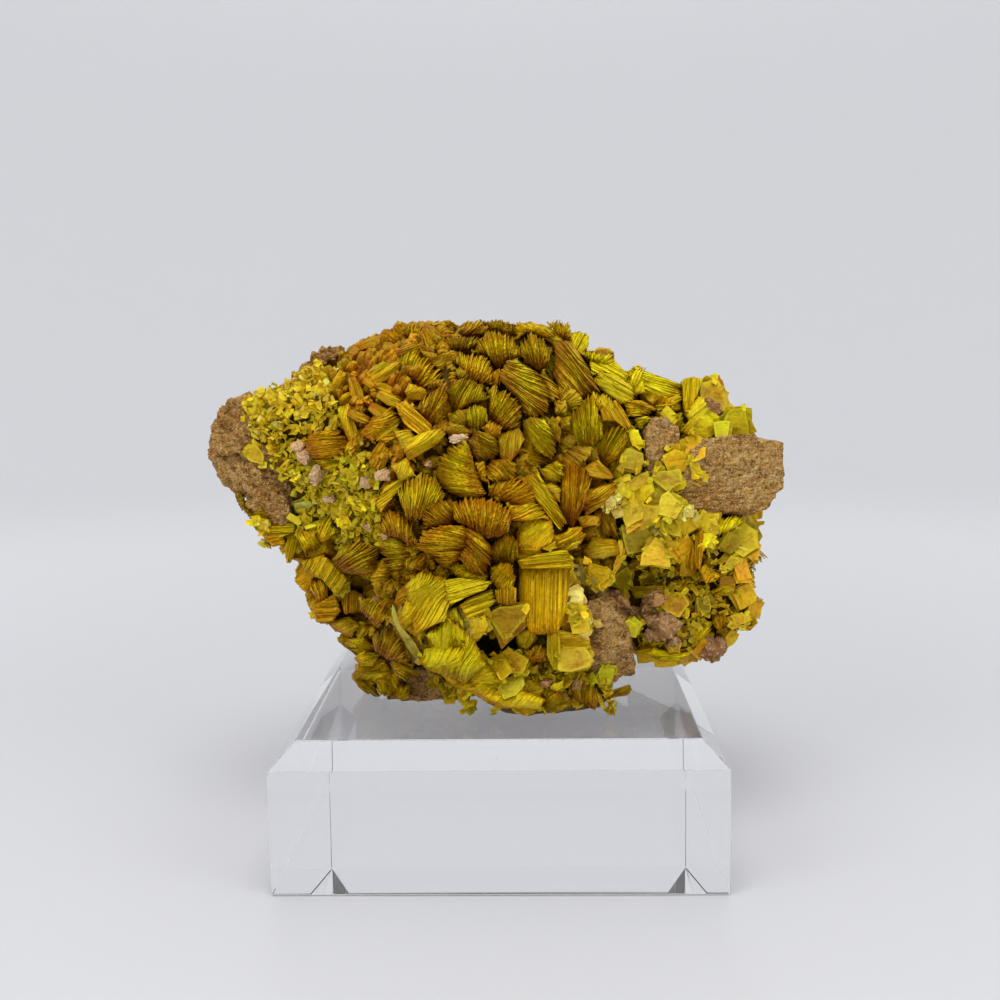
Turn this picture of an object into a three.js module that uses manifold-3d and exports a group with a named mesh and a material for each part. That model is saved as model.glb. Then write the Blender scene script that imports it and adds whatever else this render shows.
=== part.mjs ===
// Autunite crystals on a brown granular rock, standing on a bevelled clear block.
// Units are millimetres, +Z is up and +X runs along the specimen's length.
// The origin is the centre of the block's underside.

import * as THREE from "three";
import { ConvexGeometry } from "three/addons/geometries/ConvexGeometry.js";
import { mergeVertices } from "three/addons/utils/BufferGeometryUtils.js";
import Module from "manifold-3d";

// ---- driving dimensions ----
const blockSide = 76.2;
const blockHeight = 25.4;
const blockBevel = 4.1;
const seatGap = 0.1; // the specimen rests this far above the block's top face
const seatZ = blockHeight + seatGap;
const rockGrowth = 0.54; // rock corners move out this far to cut the crust; leaves about 0.3 between
const crustCentre = [0, 2, 58]; // every point of the druse's body can be seen from here
const druseDetail = 6; // subdivision of the druse's body
const embed = 2.6; // how deep a crystal's root sits in the druse

// Crystals are laid out on an upright sheet in front of the specimen and
// carried back to its surface along lines from the layout eye.
const layoutEye = [6.4, -227, 90.9];
const layoutSheetY = -18;

// ---- body of the druse: lumps joined smoothly, less a few hollows ----
// centre x, y, z, then radius x, y, z
const lumps = {
  dome: [-3, 5, 66, 31, 27, 26],
  crown: [12.5, 0, 85.5, 7, 8, 6],
  front: [-3, -9, 51, 20, 18, 19],
  leftWing: [-31, 1, 68, 13, 12, 13],
  leftDruse: [-34.5, -2, 77.5, 10, 9.5, 7],
  leftUnder: [-27.3, -2, 48.5, 9, 8, 10.5],
  leftShelf: [-36.5, -3, 57.5, 6, 6, 4],
  rightWing: [30, -1, 58, 14.5, 12, 18],
  rightCorner: [35.5, -2, 77, 5, 6, 4.5],
  shoulder: [21, 2, 74, 17, 13, 8],
  lowerRight: [36, -3, 45.5, 12, 9, 11.5],
  rightShelf: [28, -7, 37.5, 9, 7.5, 4.5],
  lowerLeftKnob: [-20.5, -9, 33, 6.5, 7, 8],
  foot: [4, -13, 33, 15, 12, 8],
  lobe: [5, -19.5, 30, 8, 6, 5.5],
  toe: [14, -17, 29, 7, 5.5, 4.5],
  keel: [2, 3, 40, 22, 14, 14],
};
const hollows = {
  vug: [0, -29, 37, 5, 9, 3],
  rightNook: [25.5, -15, 49, 5.5, 6, 4],
  throat: [17.5, -20, 57.5, 2.2, 6, 3],
  leftNook: [-24, -15, 46, 4, 5, 3.5],
};
const lumpBlend = 4;
const hollowBlend = 2;

// ---- rock: convex chunks that overlap, each a list of corners ----
const chunks = {
  back: [
    [-36, 2, 84], [-20, 0, 88], [6, 2, 89], [26, 4, 82], [36, 0, 66], [34, -2, 42],
    [20, -4, 30], [-4, -8, 26], [-20, -6, 29], [-34, -2, 52], [-30, 17, 81], [-14, 22, 87],
    [12, 20, 87], [28, 15, 76], [32, 14, 46], [17, 17, 27], [-15, 15, 26], [-31, 14, 50], [0, 27, 62],
  ],
  backShoulder: [[-28, 17, 76], [-12, 24, 82], [-3, 29, 68], [-12, 28, 52], [-27, 20, 56], [-20, 6, 66]],
  backLedge: [[2, 20, 56], [19, 21, 60], [26, 17, 46], [17, 24, 37], [3, 26, 41], [10, 6, 48]],
  backCorner: [[8, 22, 82], [22, 20, 79], [27, 15, 66], [12, 24, 64], [4, 25, 74], [14, 4, 72]],
  heel: [[-17, 15, 43], [3, 23, 45], [9, 20, 31], [-11, 20, seatZ], [-19, 13, 33], [0, 4, 36]],
  prow: [
    [-56.5, 1, 71.5], [-53, 2, 80], [-48, 4, 83], [-41, 7, 84.5], [-43, -6, 78], [-44.5, -8.5, 70],
    [-53, -3, 65.5], [-43.5, -8.5, 60], [-33, -6, 60], [-28, -4, 76], [-47, 15, 80], [-54, 11, 70],
    [-45, 16, 62], [-28, 18, 83], [-26, 18, 56], [-36, 4, 87],
  ],
  prowShelf: [[-48, -5, 63], [-49, 4, 64], [-42, -9, 59], [-36, -8, 57], [-34, 10, 57], [-40, -10, 62]],
  crest: [[-36, 7, 86], [-33, 7, 88.5], [-27, 8, 91], [-24, 4, 84], [-30, 18, 87], [-40, 14, 82]],
  ridge: [
    [-29, 6, 90.5], [-22, 7, 93.5], [-14, 8, 95.4], [-8, 8, 94], [-10, 20, 90], [-28, 16, 86], [-14, 4, 84],
  ],
  slab: [
    [37, -11, 72.5], [46, -8, 74], [51, -4, 71.5], [52.4, -3, 66], [51.2, -4, 61], [47, -8, 59],
    [34, -12.5, 59.5], [32, -13, 63], [35, -13, 68], [48, 18, 69], [49, 16, 58], [28, 20, 72], [28, 20, 54],
  ],
  lowerRight: [
    [43.5, -4, 58], [43.5, -4, 44], [41, -5, 37], [33, -8, 34], [24, -8, 33], [22, -6, 55],
    [44, 12, 56], [42, 12, 38], [26, 18, 32], [24, 18, 56],
  ],
  wedge: [
    [16, -24.5, 45.5], [18.5, -24.5, 46], [23, -19, 40], [24.5, -17, 33], [19.5, -22.5, 31],
    [16.5, -23, 31.5], [15.5, -25, 38], [15, -4, 48], [24, -4, 44], [14, -4, 30],
  ],
  spur: [[24.3, -16.5, 30.6], [22, -17.5, 33.5], [19, -19, 32], [20, -8, 33], [23.5, -14, 34]],
  boss: [
    [26, -14.5, 74.5], [28, -14, 77.5], [32.5, -12.5, 75.5], [33, -12, 71.5], [30, -13, 66],
    [26.5, -14, 67.5], [27, -2, 78], [34, -2, 74], [28, 0, 64],
  ],
  bossUpper: [
    [36, -7, 79], [38, -6.5, 80.5], [41, -6, 77.5], [37.5, -7, 75], [35, 4, 78], [41, 4, 74], [38, 0, 66],
  ],
  lowerBoss: [
    [38, -9, 36], [42.5, -8, 35.5], [42, -8, 32.5], [39, -9, 30.6], [37.5, -8, 33], [36, 2, 38], [42, 2, 37],
  ],
  knuckle: [
    [26, -14, 45], [29, -14.5, 46.5], [31.5, -13.5, 42], [35, -12, 37], [33, -12, 35.5],
    [28, -14, 37.5], [25.5, -13.5, 41], [28, -2, 48], [34, -2, 38], [25, -2, 36],
  ],
  sole: [
    [-21, -13, 32], [-21, -12, seatZ], [-9, -15, 32], [-6, -16, 27], [-10, -13, seatZ],
    [-24, 8, seatZ], [-20, 12, 36], [12, 12, seatZ], [16, 10, 34], [4, -12, 30],
  ],
};

// ---- crystals laid out by hand ----
// x and z on the layout sheet, width along the plates, height across them, reach out of
// the druse, turn of the plates, lean from upright and the direction it leans to
const laid = {
  fan: [
    [-13, 88, 6.5, 6, 4, -35, 10, 90], [-3.2, 87.4, 6, 6, 4, 75, 20, 90], [2, 91.2, 6, 5.5, 4, 70, 20, 90],
    [7.6, 90, 6, 5.5, 4, -35, 10, 60], [-3, 92.6, 5.5, 5, 3.5, 60, 10, 90],
    [11.5, 90.6, 6, 5, 4, -50, 10, 0], [14, 86.3, 7, 5.5, 4.5, -15, 10, 0], [15, 82.4, 6, 5, 4, 10, 10, 0],
    [5, 84.3, 8, 7, 4.5, -20, 10, 180], [10.2, 82.3, 5, 4.5, 4, -35, 20, 0],
    [6, 79.2, 7, 4.5, 3.5, 0, 15, 270], [-4.6, 82.2, 6, 6.5, 4.5, 72, 15, 90],
    [-3, 78.4, 4.6, 4.2, 4, 80, 10, 90], [2, 80, 7, 7.5, 4.5, -5, 5, 0],
    [-10, 80.8, 7, 5.5, 4.5, 62, 15, 60], [-15, 78.6, 6.5, 4.5, 4, -35, 15, 200],
    [-12, 73.8, 7.5, 5, 4, 30, 10, 120], [-6.8, 69, 8, 9.5, 5.5, -10, 0, 0],
    [-2.4, 73.2, 5.2, 5, 4, -20, 10, 0], [2.7, 73.6, 6, 4.4, 4, 75, 5, 90],
    [7.2, 74.8, 7, 5.2, 4.5, -45, 10, 0], [16, 76.6, 11, 7, 5.5, 80, 10, 90],
    [20.6, 73, 8.5, 5.5, 5, 60, 15, 30], [-13.6, 65.2, 8, 6.5, 4.5, 52, 10, 180],
    [0.8, 68.8, 5, 4.5, 2.5, 80, 0, 0], [1.4, 65.4, 5.5, 4.6, 5, 78, 15, 90],
    [5.6, 63.6, 5.5, 5.5, 5, 60, 15, 60], [13.2, 64.8, 11, 5, 5, 86, 5, 0],
    [10.2, 68.2, 6, 4, 3.5, -20, 10, 0], [18.2, 64.2, 9, 4.6, 4.5, 40, 10, 0],
    [9.8, 61.5, 10, 4, 3.5, -60, 5, 0], [-10.4, 61.4, 8, 7, 7, 84, 15, 90],
    [-3.6, 61.8, 8, 7.5, 7, 88, 15, 90], [-10, 56.4, 8.5, 6.5, 7.5, 70, 10, 200],
    [-4.6, 55.8, 8, 6, 7.5, 60, 5, 0], [1.4, 57.4, 9, 5, 6, 86, 0, 0],
    [6.4, 58.6, 6.5, 6.5, 5.5, -45, 15, 330], [-19.4, 58.6, 8, 7, 5, -40, 10, 160],
    [-19, 52.4, 7, 6.5, 5, -30, 15, 200], [-26, 54.2, 9.5, 6, 5, 30, 25, 210],
    [-25, 37, 7.5, 5, 3.5, 12, 15, 200], [-20.8, 36.6, 7, 6, 3.5, 60, 10, 0],
    [-24.8, 31.6, 9, 8, 3, 0, 10, 240], [-19, 31, 7, 5, 3, 50, 15, 300], [-24.5, 85, 6, 3, 3, 80, 30, 90],
  ],
  book: [
    [-5.8, 48.6, 8.2, 7.5, 7, 12, 25, 270], [1.2, 48.8, 8.5, 4.8, 6.5, 88, 20, 270],
    [8.6, 51.4, 9.4, 4.4, 8, 4, 20, 90], [8.4, 44.8, 9.5, 9.4, 8.5, 88, 5, 270],
    [-15.4, 45.6, 9, 8, 7.5, 35, 10, 120], [-12.6, 39.6, 9.5, 7, 8, 20, 20, 250],
    [-7.2, 40.4, 7, 3.4, 7.5, 84, 10, 330], [-9.8, 33.6, 7.4, 6, 4.6, 15, 20, 250],
    [-5.4, 30.8, 6.4, 4.4, 3.6, -10, 10, 250], [-28.8, 49.6, 6, 5.5, 4.5, 60, 20, 230],
    [-26, 45, 4.8, 4.8, 4, 88, 10, 200], [-30.8, 44.6, 4.6, 4.4, 4, 5, 20, 200],
    [-32.4, 48.6, 4.4, 4.6, 4, 80, 25, 190], [-33.6, 53, 4.4, 4, 3.6, 10, 20, 200],
    [-37.2, 57, 4.8, 4.4, 4, 85, 25, 230], [-40.8, 57.6, 5, 4, 3.4, 8, 25, 220],
    [-30.4, 57, 4.2, 5, 3.5, 88, 15, 250], [-30, 41.8, 4.4, 3.6, 3.4, 0, 20, 230],
    [-30.6, 74, 7.5, 6, 3.6, -5, 5, 0], [-26.6, 76.6, 4.6, 5.4, 3.6, 100, 15, 60],
    [-20, 77, 6.5, 5, 3.4, 3, 10, 0], [-20, 72.4, 4, 4.4, 3.2, 60, 10, 0],
    [11.8, 92.2, 4, 4, 3, 88, 30, 90], [14.9, 90.2, 3.6, 3.4, 3, 5, 30, 45],
    [19.6, 86.6, 5, 4.6, 4, -30, 20, 60], [22.4, 84.8, 4.6, 4.2, 4, -35, 20, 60],
    [25.8, 84.4, 4.6, 4, 4, -20, 20, 70], [18.8, 82.4, 5, 4.4, 4, 25, 5, 0],
    [23.6, 81, 6, 4.4, 3.8, -20, 0, 0], [29.4, 81.8, 6, 3.8, 4, -25, 15, 90],
    [34.4, 80.4, 5.2, 3.4, 3.4, 88, 25, 90], [38, 79.8, 5, 3.6, 3.6, 60, 30, 60],
    [41.4, 76.4, 4.4, 4, 4.6, 40, 25, 30], [36.6, 75.6, 4.4, 4.6, 4, 85, 10, 0],
    [33, 76.4, 4, 3.4, 3, 50, 10, 0], [19.4, 80, 6, 4, 4, 25, 10, 45],
    [21.6, 77.4, 7, 3.2, 4.2, -50, 10, 0], [29.6, 78.8, 4.2, 1.4, 4, 4, 0, 0],
    [34.4, 53.6, 8, 2, 4, 84, 15, 90], [35.6, 49, 7, 1.8, 4, 100, 15, 270], [18, 54, 6, 3, 4, 5, 15, 270],
  ],
  tablet: [
    [32, 70.4, 5.6, 4.8, 2.4, 10, 25, 90], [34.6, 71.6, 4, 5, 2, 0, 20, 0],
    [24, 70.6, 4, 4, 3.4, -20, 15, 0], [25.4, 65, 5, 5.4, 3, 25, 20, 120],
    [30.6, 61.8, 4.4, 4.2, 2.6, -25, 15, 300], [24, 60.4, 6, 4.4, 4, 15, 20, 90],
    [23.4, 57, 5.4, 4, 4.4, 70, 15, 200], [29.2, 57.4, 4.6, 2.8, 3, -15, 20, 300],
    [28.2, 53.4, 5.6, 3.6, 3.4, 0, 20, 270], [30.4, 66.6, 4, 3, 2, 40, 20, 60],
    [42.8, 56.4, 4.8, 4.6, 3, -35, 20, 0], [39, 58, 4.4, 3.4, 2.6, 20, 25, 90],
    [42.6, 53.2, 3.4, 2.4, 3, -25, 20, 270], [13.6, 45.6, 2.8, 3.6, 9.5, 5, 10, 0],
    [13.4, 49.8, 4.4, 3.4, 7, -30, 25, 30], [18, 50.6, 4, 3.6, 4.4, -20, 15, 0],
    [11.6, 35.2, 6.6, 8, 6.5, 2, 10, 270], [14.6, 38.6, 3.4, 3.4, 6.5, 30, 20, 30],
    [-3.8, 40.6, 3.4, 3.6, 3.6, -15, 20, 90], [0.8, 41, 6.6, 4.6, 3.6, -45, 30, 90],
    [-3.6, 33.4, 4.4, 3.6, 3.4, -50, 25, 270], [0.4, 32.2, 4, 4, 3.6, 25, 25, 270],
    [3.8, 32.8, 4, 4, 3, 65, 25, 270], [5.6, 36, 3.6, 4, 2.4, 60, 10, 0],
    [2.2, 28.4, 3.8, 3.6, 3, 20, 20, 250], [6.4, 28.4, 3.4, 3, 3, 15, 25, 280],
    [18.8, 30, 3.2, 4, 3.2, 10, 15, 0], [31.4, 44, 4.6, 4.2, 2.4, 2, 10, 0],
    [37, 38.6, 4.4, 3.8, 3, 25, 20, 270], [27.6, 46.4, 5.4, 2.2, 3, 3, 15, 90],
    [30.6, 36.6, 4.4, 3, 3.4, -40, 20, 270], [28, 34.6, 4, 2.8, 3.2, 10, 25, 270],
    [39.4, 42, 3.6, 3.6, 3, 70, 20, 0], [18.2, 28, 1.8, 1.4, 5.4, 90, 65, 0],
  ],
};
const spreadOfFan = 62; // degrees between a fan's outer plates
const tabletThickness = 1.1;

// ---- crystals between those above, spread evenly over the druse ----
const fillDirections = 460;
const fillSpacing = 6.6; // between two of them
const fillSeed = 1701;
const backLimit = 16; // the rock behind this is bare
const growth = {
  // width, height and reach before the size of each one is varied
  tablet: [4.1, 3.8, 2],
  book: [4.6, 4.2, 2.7],
  fan: [5.6, 5.4, 2.8],
};

// ---- small helpers ----
const radians = THREE.MathUtils.degToRad;
const vector = (p) => new THREE.Vector3(...p);
const along = (from, way, t) => from.clone().addScaledVector(way, t);

function randomFrom(seed) {
  let state = seed >>> 0;
  return () => {
    state = (state + 0x6d2b79f5) >>> 0;
    let t = state;
    t = Math.imul(t ^ (t >>> 15), t | 1);
    t ^= t + Math.imul(t ^ (t >>> 7), t | 61);
    return ((t ^ (t >>> 14)) >>> 0) / 4294967296;
  };
}

// ---- the druse's surface ----
function lumpDistance(p, [cx, cy, cz, rx, ry, rz]) {
  const plain = Math.hypot(p.x - cx, p.y - cy, p.z - cz);
  const scaled = Math.hypot((p.x - cx) / rx, (p.y - cy) / ry, (p.z - cz) / rz);
  return scaled < 1e-6 ? -Math.min(rx, ry, rz) : plain * (1 - 1 / scaled);
}

function smoothMin(a, b, k) {
  const h = Math.max(k - Math.abs(a - b), 0) / k;
  return Math.min(a, b) - (h * h * k) / 4;
}

// Signed distance to the druse's body, negative inside.
function druse(p) {
  let d = Infinity;
  for (const lump of Object.values(lumps)) d = smoothMin(d, lumpDistance(p, lump), lumpBlend);
  for (const hollow of Object.values(hollows)) d = -smoothMin(-d, lumpDistance(p, hollow), hollowBlend);
  return d;
}

// First point of the druse on the way from `from`, between two distances.
function meet(from, way, start, end) {
  const step = 0.5;
  let far = start;
  while (far < end && druse(along(from, way, far)) >= 0) far += step;
  if (far >= end) return null;
  let near = far - step;
  for (let i = 0; i < 12; i++) {
    const middle = (near + far) / 2;
    if (druse(along(from, way, middle)) < 0) far = middle;
    else near = middle;
  }
  return along(from, way, far);
}

function inward(way) {
  const reach = 90;
  return meet(along(vector(crustCentre), way, reach), way.clone().negate(), 0, reach);
}

function carriedBack(x, z) {
  const eye = vector(layoutEye);
  return meet(eye, new THREE.Vector3(x, layoutSheetY, z).sub(eye).normalize(), 175, 275);
}

function outward(p) {
  const e = 0.6;
  const slope = (dx, dy, dz) => {
    const d = new THREE.Vector3(dx, dy, dz);
    return druse(p.clone().add(d)) - druse(p.clone().sub(d));
  };
  return new THREE.Vector3(slope(e, 0, 0), slope(0, e, 0), slope(0, 0, e)).normalize();
}

// ---- crystals ----
const inSheet = (degrees) => new THREE.Vector3(Math.cos(radians(degrees)), 0, Math.sin(radians(degrees)));

function square(direction, normal) {
  return direction.clone().addScaledVector(normal, -direction.dot(normal)).normalize();
}

// Frame of a crystal: x along its plates, y across them, z out of the druse.
function crystalFrame(p, turn, lean, toward) {
  const normal = outward(p);
  const side = square(inSheet(toward), normal);
  const out = normal.multiplyScalar(Math.cos(radians(lean))).addScaledVector(side, Math.sin(radians(lean)));
  const plates = square(inSheet(turn), out);
  const across = new THREE.Vector3().crossVectors(out, plates);
  return new THREE.Matrix4().makeBasis(plates, across, out).setPosition(p);
}

const corners = (x, y, z) => [[-x, -y, z], [x, -y, z], [-x, y, z], [x, y, z]];

// Each shape is a list of corners, rooted at z = -embed.
const shapes = {
  fan(width, height, reach) {
    const radius = height / 2 / Math.sin(radians(spreadOfFan / 2));
    const edge = (height / 2) * 0.98;
    const drop = radius * (1 - Math.cos(radians(spreadOfFan / 2)));
    return [
      [-width / 2, 0, reach],
      [width / 2, 0, reach],
      ...corners(width * 0.3, edge, reach - drop),
      ...corners(width * 0.32, height * 0.22, -embed),
    ];
  },
  book(width, height, reach) {
    return [...corners(width / 2, height / 2, reach), ...corners(width * 0.42, height * 0.4, -embed)];
  },
  tablet(width, height, reach) {
    return [
      ...corners(width / 2, height / 2, reach),
      ...corners(width / 2, height / 2, reach - tabletThickness),
      ...corners(width * 0.3, height * 0.3, -embed),
    ];
  },
};

function crystal(kind, at, [width, height, reach], [turn, lean, toward]) {
  return { kind, at, width, height, reach, frame: crystalFrame(at, turn, lean, toward) };
}

function laidCrystals() {
  const placed = [];
  for (const [kind, rows] of Object.entries(laid)) {
    for (const [x, z, width, height, reach, ...turns] of rows) {
      const at = carriedBack(x, z);
      if (at) placed.push(crystal(kind, at, [width, height, reach], turns));
    }
  }
  return placed;
}

// What grows at a point of the druse.
function kindAt(p) {
  if (p.z < 36 && p.x > -12) return "tablet";
  if (p.x < -24 && p.z < 60) return "book";
  if (p.x < -27) return "tablet";
  if (p.x > 16 && p.z > 77) return "book";
  return p.x > 19 ? "tablet" : "fan";
}

function fillCrystals(placed) {
  const random = randomFrom(fillSeed);
  const golden = Math.PI * (3 - Math.sqrt(5));
  const grown = [];
  const crowded = (p) =>
    placed.some((c) => c.at.distanceTo(p) < 1.6 + 0.21 * (c.width + c.height)) ||
    grown.some((c) => c.at.distanceTo(p) < fillSpacing);
  for (let i = 0; i < fillDirections; i++) {
    const z = 1 - (2 * (i + 0.5)) / fillDirections;
    const flat = Math.sqrt(1 - z * z);
    const p = inward(new THREE.Vector3(flat * Math.cos(golden * i), flat * Math.sin(golden * i), z));
    const size = 0.8 + 0.45 * random();
    const turns = [180 * random(), 8 + 22 * random(), 360 * random()];
    if (p.y > backLimit || p.z < seatZ + 2 || insideRock(p) || crowded(p)) continue;
    const [width, height, reach] = growth[kindAt(p)];
    grown.push(crystal(kindAt(p), p, [width * size, height * size, reach], turns));
  }
  return grown;
}

// ---- solids ----
const wasm = await Module();
wasm.setup();

function solidOf(geometry) {
  const bare = geometry.clone();
  bare.deleteAttribute("normal");
  bare.deleteAttribute("uv");
  const merged = mergeVertices(bare, 1e-4);
  return new wasm.Manifold(
    new wasm.Mesh({
      numProp: 3,
      vertProperties: merged.attributes.position.array,
      triVerts: new Uint32Array(merged.index.array),
    }),
  );
}

function geometryOf(solid) {
  const mesh = solid.getMesh();
  return new THREE.BufferGeometry()
    .setAttribute("position", new THREE.BufferAttribute(mesh.vertProperties, 3))
    .setIndex(new THREE.BufferAttribute(mesh.triVerts, 1));
}

const hull = (points) => new ConvexGeometry(points.map(vector));
const joined = (solids) => solids.reduce((all, one) => all.add(one));

// Everything at and below the seat, cut away from what rests on it.
const underSeat = () => solidOf(new THREE.BoxGeometry(200, 200, 40).translate(0, 0, seatZ - 20));

function grownChunk(points) {
  const centre = new THREE.Vector3();
  for (const p of points) centre.addScaledVector(vector(p), 1 / points.length);
  return points.map((p) => {
    const arm = vector(p).sub(centre);
    return along(centre, arm, 1 + rockGrowth / arm.length()).toArray();
  });
}

const rockChunks = Object.values(chunks);
const rock = () => joined(rockChunks.map((points) => solidOf(hull(points)))).subtract(underSeat());
const rockGrown = () => joined(rockChunks.map((points) => solidOf(hull(grownChunk(points)))));

const chunkPlanes = rockChunks.map((points) => {
  const position = hull(points).attributes.position;
  const planes = [];
  for (let i = 0; i < position.count; i += 3) {
    const [a, b, c] = [0, 1, 2].map((k) => new THREE.Vector3().fromBufferAttribute(position, i + k));
    planes.push(new THREE.Plane().setFromCoplanarPoints(a, b, c));
  }
  return planes;
});

function insideRock(p) {
  return chunkPlanes.some((planes) => planes.every((plane) => plane.distanceToPoint(p) < 0.5));
}

function druseBody() {
  const geometry = new THREE.IcosahedronGeometry(1, druseDetail);
  const position = geometry.attributes.position;
  for (let i = 0; i < position.count; i++) {
    const p = inward(new THREE.Vector3().fromBufferAttribute(position, i).normalize());
    position.setXYZ(i, p.x, p.y, p.z);
  }
  return solidOf(geometry);
}

// The druse with its crystals, less the rock; chips that the cut leaves loose are dropped.
function crust() {
  const placed = laidCrystals();
  const crystals = [...placed, ...fillCrystals(placed)].map(({ kind, width, height, reach, frame }) =>
    solidOf(hull(shapes[kind](width, height, reach)).applyMatrix4(frame)),
  );
  const cut = joined([druseBody(), ...crystals]).subtract(rockGrown()).subtract(underSeat());
  return cut.decompose().reduce((best, one) => (one.volume() > best.volume() ? one : best));
}

// A square block turned on four sides, with its upper edges bevelled.
function blockGeometry() {
  const corner = blockSide / Math.SQRT2;
  const topCorner = (blockSide - 2 * blockBevel) / Math.SQRT2;
  const profile = [
    new THREE.Vector2(0, 0),
    new THREE.Vector2(corner, 0),
    new THREE.Vector2(corner, blockHeight - blockBevel),
    new THREE.Vector2(topCorner, blockHeight),
    new THREE.Vector2(0, blockHeight),
  ];
  return new THREE.LatheGeometry(profile, 4, Math.PI / 4);
}

// ---- the assembly ----
const group = new THREE.Group();

function addPiece(name, geometry, color, roughness) {
  const mesh = new THREE.Mesh(geometry, new THREE.MeshStandardMaterial({ color, roughness, metalness: 0 }));
  mesh.name = name;
  group.add(mesh);
  return mesh;
}

const block = addPiece("display_block", blockGeometry(), 0xe8ecf0, 0.05);
block.rotation.x = Math.PI / 2;
addPiece("matrix_rock", geometryOf(rock()), 0x94704a, 0.95);
addPiece("autunite_crust", geometryOf(crust()), 0xb5a016, 0.5);

export default group;
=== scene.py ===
import math

import bmesh
import bpy
import numpy as np
from mathutils import Matrix, Vector, noise
from mathutils.bvhtree import BVHTree


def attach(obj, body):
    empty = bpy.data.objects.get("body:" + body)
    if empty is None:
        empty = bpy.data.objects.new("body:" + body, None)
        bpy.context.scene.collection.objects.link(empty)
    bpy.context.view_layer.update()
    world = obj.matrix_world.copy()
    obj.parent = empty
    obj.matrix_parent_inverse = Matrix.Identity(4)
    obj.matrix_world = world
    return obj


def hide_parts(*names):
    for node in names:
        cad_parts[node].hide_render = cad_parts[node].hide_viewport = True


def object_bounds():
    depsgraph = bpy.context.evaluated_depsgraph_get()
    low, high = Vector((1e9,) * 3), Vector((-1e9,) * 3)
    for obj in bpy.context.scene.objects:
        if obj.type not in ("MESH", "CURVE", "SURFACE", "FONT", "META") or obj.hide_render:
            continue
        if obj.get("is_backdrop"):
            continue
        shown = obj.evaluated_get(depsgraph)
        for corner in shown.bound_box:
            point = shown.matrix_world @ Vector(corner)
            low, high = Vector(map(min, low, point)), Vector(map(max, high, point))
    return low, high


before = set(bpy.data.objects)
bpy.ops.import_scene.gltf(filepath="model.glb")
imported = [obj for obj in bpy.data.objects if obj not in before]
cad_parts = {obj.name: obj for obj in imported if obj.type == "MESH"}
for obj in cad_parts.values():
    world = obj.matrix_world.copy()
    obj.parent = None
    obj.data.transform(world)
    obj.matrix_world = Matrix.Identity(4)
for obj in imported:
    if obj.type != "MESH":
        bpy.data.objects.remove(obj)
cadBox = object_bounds()

mm = 0.001
seatZ = 25.5
boxLow = np.array([-56.4, -38.0, seatZ])
boxHigh = np.array([52.3, 38.0, 95.45])
dice = np.random.default_rng(1867)


def report(text):
    print("scene:", text)


def linear(red, green, blue):  # from the 0 to 255 that a colour picker shows
    parts = [c / 255 for c in (red, green, blue)]
    return np.array([c / 12.92 if c <= 0.04045 else ((c + 0.055) / 1.055) ** 2.4 for c in parts])


# camera
viewpoint = {"place": (6.42, -226.95, 90.87), "yaw": 0.0284, "pitch": 0.1302, "roll": 0.0148, "lens": 43.2}


def addCamera():
    camera = bpy.data.objects.new("camera", bpy.data.cameras.new("camera"))
    camera.data.lens = viewpoint["lens"]
    camera.data.clip_start = 0.01
    turn = Matrix.Rotation(viewpoint["yaw"], 4, "Z")
    turn = turn @ Matrix.Rotation(math.pi / 2 - viewpoint["pitch"], 4, "X")
    turn = turn @ Matrix.Rotation(-viewpoint["roll"], 4, "Z")
    camera.matrix_world = Matrix.Translation(Vector(viewpoint["place"]) * mm) @ turn
    bpy.context.collection.objects.link(camera)
    bpy.context.scene.camera = camera


addCamera()
report("camera placed")


# shader sums written as expressions
class Wire:
    def __init__(self, recipe, socket):
        self.recipe = recipe
        self.socket = socket

    def __add__(self, other):
        return self.recipe.sum("ADD", self, other)

    def __radd__(self, other):
        return self.recipe.sum("ADD", other, self)

    def __sub__(self, other):
        return self.recipe.sum("SUBTRACT", self, other)

    def __rsub__(self, other):
        return self.recipe.sum("SUBTRACT", other, self)

    def __mul__(self, other):
        return self.recipe.sum("MULTIPLY", self, other)

    def __rmul__(self, other):
        return self.recipe.sum("MULTIPLY", other, self)


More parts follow.
